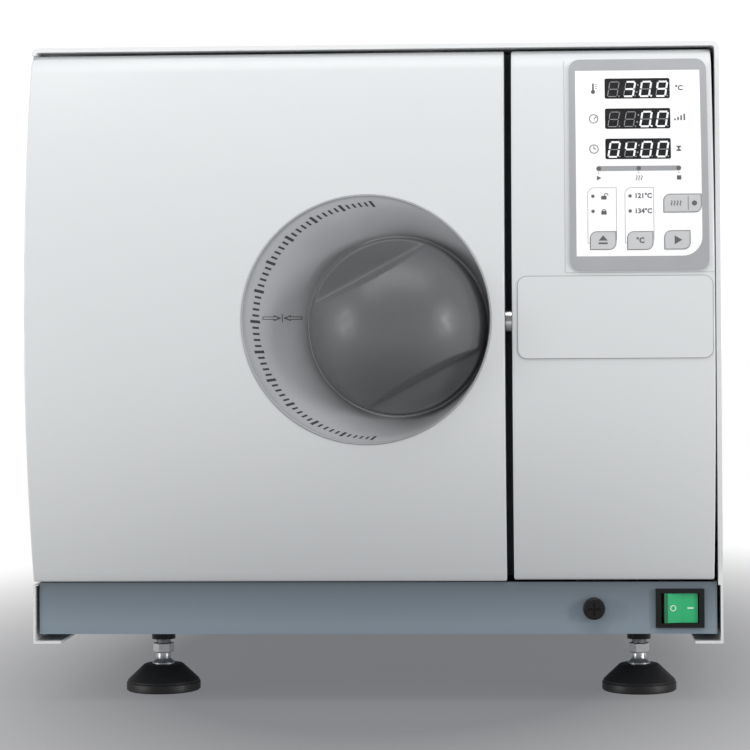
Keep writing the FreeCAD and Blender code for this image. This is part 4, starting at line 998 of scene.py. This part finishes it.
def spread(material, source, low, high, start=0.3, end=0.7):
    """Map the middle of a noise onto a range."""
    tree = material.node_tree
    node = tree.nodes.new("ShaderNodeMapRange")
    node.inputs["From Min"].default_value = start
    node.inputs["From Max"].default_value = end
    node.inputs["To Min"].default_value = low
    node.inputs["To Max"].default_value = high
    tree.links.new(source, node.inputs["Value"])
    return node.outputs["Result"]


def tint(material, source, first, second):
    """Blend two colours by a noise."""
    tree = material.node_tree
    node = tree.nodes.new("ShaderNodeMix")
    node.data_type = "RGBA"
    node.inputs["A"].default_value = (*first, 1)
    node.inputs["B"].default_value = (*second, 1)
    tree.links.new(source, node.inputs["Factor"])
    return node.outputs["Result"]


def bump(material, shade, source, distance):
    """Relief of some depth in metres."""
    tree = material.node_tree
    node = tree.nodes.new("ShaderNodeBump")
    node.inputs["Distance"].default_value = distance
    tree.links.new(source, node.inputs["Height"])
    tree.links.new(node.outputs["Normal"], shade.inputs["Normal"])


def wire(material, source, shade, socket):
    """Lead an output into a named socket."""
    material.node_tree.links.new(source, shade.inputs[socket])


def scaled(colour, factor):
    """A colour made darker or lighter."""
    return tuple(min(1.0, part * factor) for part in colour)


def painted(name, colour, rough=0.34, peel=0.012):
    """Powder coat: faint orange peel, slight unevenness of colour and gloss."""
    material, shade = shader(name, colour, rough)
    cloud = spread(material, noise(material, 5, 3), 0, 1)
    wire(material, tint(material, cloud, scaled(colour, 0.99), scaled(colour, 1.006)), shade, "Base Color")
    wire(material, spread(material, noise(material, 60, 5), rough - 0.03, rough + 0.04), shade, "Roughness")
    bump(material, shade, noise(material, 700, 2), peel * MM)
    return material


def moulded(name, colour, rough, grain=0.02, scale=1500, shine=0.45):
    """Moulded plastic: fine spark-eroded grain and a little unevenness."""
    material, shade = shader(name, colour, rough, Specular_IOR_Level=shine)
    cloud = spread(material, noise(material, 25, 4), 0, 1)
    wire(material, tint(material, cloud, scaled(colour, 0.96), scaled(colour, 1.04)), shade, "Base Color")
    wire(material, spread(material, noise(material, 180, 4), rough - 0.04, rough + 0.06), shade, "Roughness")
    bump(material, shade, noise(material, scale, 3), grain * MM)
    return material


def brushed(name, colour, rough, stretch, depth=0.01):
    """Metal with fine lines along one direction and smudges of gloss."""
    material, shade = shader(name, colour, rough, 1.0)
    lines = noise(material, 45, 4, stretch)
    wire(material, tint(material, spread(material, lines, 0, 1), scaled(colour, 0.95), scaled(colour, 1.03)),
         shade, "Base Color")
    wire(material, spread(material, noise(material, 30, 5), rough - 0.02, rough + 0.03), shade, "Roughness")
    bump(material, shade, lines, depth * MM)
    return material


FLOOR_GREY = (0.26, 0.262, 0.27)
SHADOW_GLOW_GREY = (0.245, 0.247, 0.26)
SHADOW_FADE = (0.17, 0.55)  # metres from the middle where the glow turns from painted-shadow grey to white
GLOW_SHARE = (0.2, 0.5)  # and where it takes over from the lit floor


def floor_material():
    """Bench top whose glow is grey under the machine, a painted shadow, and fades into the white surround."""
    material, shade = shader("floor_pale", FLOOR_GREY, 0.6)
    tree = material.node_tree
    reach = tree.nodes.new("ShaderNodeVectorMath")
    reach.operation = "LENGTH"
    tree.links.new(place_node(material, (1, 0.5, 1)), reach.inputs[0])
    fade = spread(material, reach.outputs["Value"], 0, 1, *SHADOW_FADE)
    # painted shadow: the floor glows grey under the machine and white further out
    glow = tree.nodes.new("ShaderNodeEmission")
    wire(material, tint(material, fade, SHADOW_GLOW_GREY, (1, 1, 1)), glow, "Color")
    mix = tree.nodes.new("ShaderNodeMixShader")
    share = spread(material, reach.outputs["Value"], 0.72, 1, *GLOW_SHARE)
    tree.links.new(share, mix.inputs["Fac"])
    tree.links.new(shade.outputs["BSDF"], mix.inputs[1])
    tree.links.new(glow.outputs["Emission"], mix.inputs[2])
    tree.links.new(mix.outputs["Shader"], tree.nodes["Material Output"].inputs["Surface"])
    return material


SHADE_LOW = 0.052  # heights between which painted shade darkens the tray's paint to a half
SHADE_HIGH = 0.082


def overhang_shaded(name, colour, rough, peel):
    """Paint with painted shade that darkens it upwards, where the door hangs over the tray."""
    material = painted(name, colour, rough, peel)
    tree = material.node_tree
    height = tree.nodes.new("ShaderNodeSeparateXYZ")
    tree.links.new(place_node(material), height.inputs["Vector"])
    shadow = spread(material, height.outputs["Z"], 1, 0.5, SHADE_LOW, SHADE_HIGH)
    dim = tree.nodes.new("ShaderNodeVectorMath")
    dim.operation = "SCALE"
    shade = tree.nodes["Principled BSDF"]
    tree.links.new(shade.inputs["Base Color"].links[0].from_socket, dim.inputs[0])
    tree.links.new(shadow, dim.inputs["Scale"])
    tree.links.new(dim.outputs["Vector"], shade.inputs["Base Color"])
    return material


# Slot or look: maker, colour, roughness, then the maker's further values
SLOT_LOOKS = {
    "casing_paint": (painted, (0.72, 0.73, 0.735)),
    "door_paint": (painted, (0.62, 0.636, 0.648)),
    # the tray's paint carries a painted shadow of the door's overhang
    "tray_paint": (overhang_shaded, (0.215, 0.265, 0.31), 0.42, 0.03),
    "pump_metal": (painted, (0.05, 0.055, 0.06), 0.45, 0.05),
    "recess_plastic": (moulded, (0.36, 0.365, 0.38), 0.5),
    "knob_plastic": (moulded, (0.1, 0.103, 0.108), 0.4),
    "foot_rubber": (moulded, (0.012, 0.012, 0.013), 0.5, 0.04, 900),
    "black_plastic": (moulded, (0.008, 0.008, 0.009), 0.32, 0.02, 1500, 0.25),
    "green_lens": (moulded, (0.02, 0.42, 0.16), 0.18, 0.003),
    "lens_dark": (moulded, (0.01, 0.15, 0.06), 0.2, 0.003),
    "seal_silicone": (moulded, (0.62, 0.60, 0.54), 0.55, 0.03, 700),
    "insulation": (moulded, (0.50, 0.48, 0.42), 0.9, 0.6, 220),
    "board_green": (moulded, (0.02, 0.12, 0.05), 0.4, 0.05, 400),
    "tank_plastic": (moulded, (0.70, 0.71, 0.71), 0.4, 0.03, 900),
    "keypad_film": (moulded, (0.34, 0.345, 0.36), 0.4, 0.004, 2500),
    "keypad_white": (moulded, (0.86, 0.865, 0.87), 0.42, 0.004, 2500),
    "key_film": (moulded, (0.50, 0.505, 0.515), 0.42, 0.004, 2500),
    "display_glass": (moulded, (0.012, 0.012, 0.014), 0.25, 0.001),
    "digit_white": (moulded, (0.86, 0.87, 0.88), 0.5, 0.001),
    "digit_grey": (moulded, (0.30, 0.305, 0.31), 0.4, 0.001),
    "lamp_dark": (moulded, (0.13, 0.125, 0.13), 0.2, 0.001),
    "print_black": (moulded, (0.03, 0.03, 0.033), 0.5, 0.002),
    "print_dark": (moulded, (0.10, 0.10, 0.11), 0.5, 0.002),
    # grey of the printed lines round the keys, also used for the painted shadow line round the blank plate
    "print_and_shadow_grey": (moulded, (0.25, 0.26, 0.27), 0.5, 0.002),
    "print_pale": (moulded, (0.30, 0.31, 0.32), 0.5, 0.002),
    # painted shade of the fascia's step round the keypad
    "step_shadow_faint": (moulded, (0.42, 0.43, 0.44), 0.4, 0.002),
    "print_white": (moulded, (0.80, 0.86, 0.82), 0.5, 0.002),
    "zinc_steel": (brushed, (0.62, 0.63, 0.64), 0.34, (1, 1, 40)),
    "stainless": (brushed, (0.66, 0.65, 0.64), 0.24, (1, 30, 1)),
    "bright_steel": (brushed, (0.62, 0.62, 0.62), 0.2, (1, 1, 30), 0.005),
    "brass": (brushed, (0.70, 0.50, 0.20), 0.25, (1, 1, 20)),
    "fin_metal": (brushed, (0.72, 0.73, 0.74), 0.3, (1, 1, 30)),
}
MATERIALS = {}


def look(slot):
    """The material of a slot, made once."""
    if slot not in MATERIALS:
        make, *values = SLOT_LOOKS[slot]
        MATERIALS[slot] = make(slot, *values)
    return MATERIALS[slot]


def dress_cad_nodes():
    """Give each CAD node the look of its record's slot."""
    for part in frame["record"]["subparts"]:
        mesh = frame["nodes"][part["node"]].data
        mesh.materials.clear()
        mesh.materials.append(look(part["material_slot"]))


# ---- CAD nodes' edges ----

SOFT_EDGES = {
    # millimetres
    "base_tray": 0.6, "blank_plate": 0.5, "switch_body": 1.0, "switch_rocker": 0.8, "fuse_cap": 0.6,
    "mains_inlet": 0.6, "filler_lid": 1.0, "foot_bosses": 0.5,
}
KEY_EDGE = 0.25
SHARP = math.radians(40)


def soften(node, width):
    """Round the sharp edges of a CAD node for the eye."""
    modifier = frame["nodes"][node].modifiers.new("soft", "BEVEL")
    modifier.width = width * MM
    modifier.segments = 2
    modifier.limit_method = "ANGLE"
    modifier.angle_limit = SHARP
    modifier.use_clamp_overlap = True


make_camera()
make_stage()
dress_cad_nodes()
for node_name, soft_width in SOFT_EDGES.items():
    soften(node_name, soft_width)
for key_name in KEYS:
    soften(key_name, KEY_EDGE)
make_door_cover()
make_fascia()
make_recess()
make_knob()
make_recess_marks()
make_recess_sign()
make_displays()
make_keypad_field()
make_keypad_signs()
make_keypad_lines()
make_keypad_lamps()
make_key_signs()
make_plate_line()
make_switch()
make_feet()
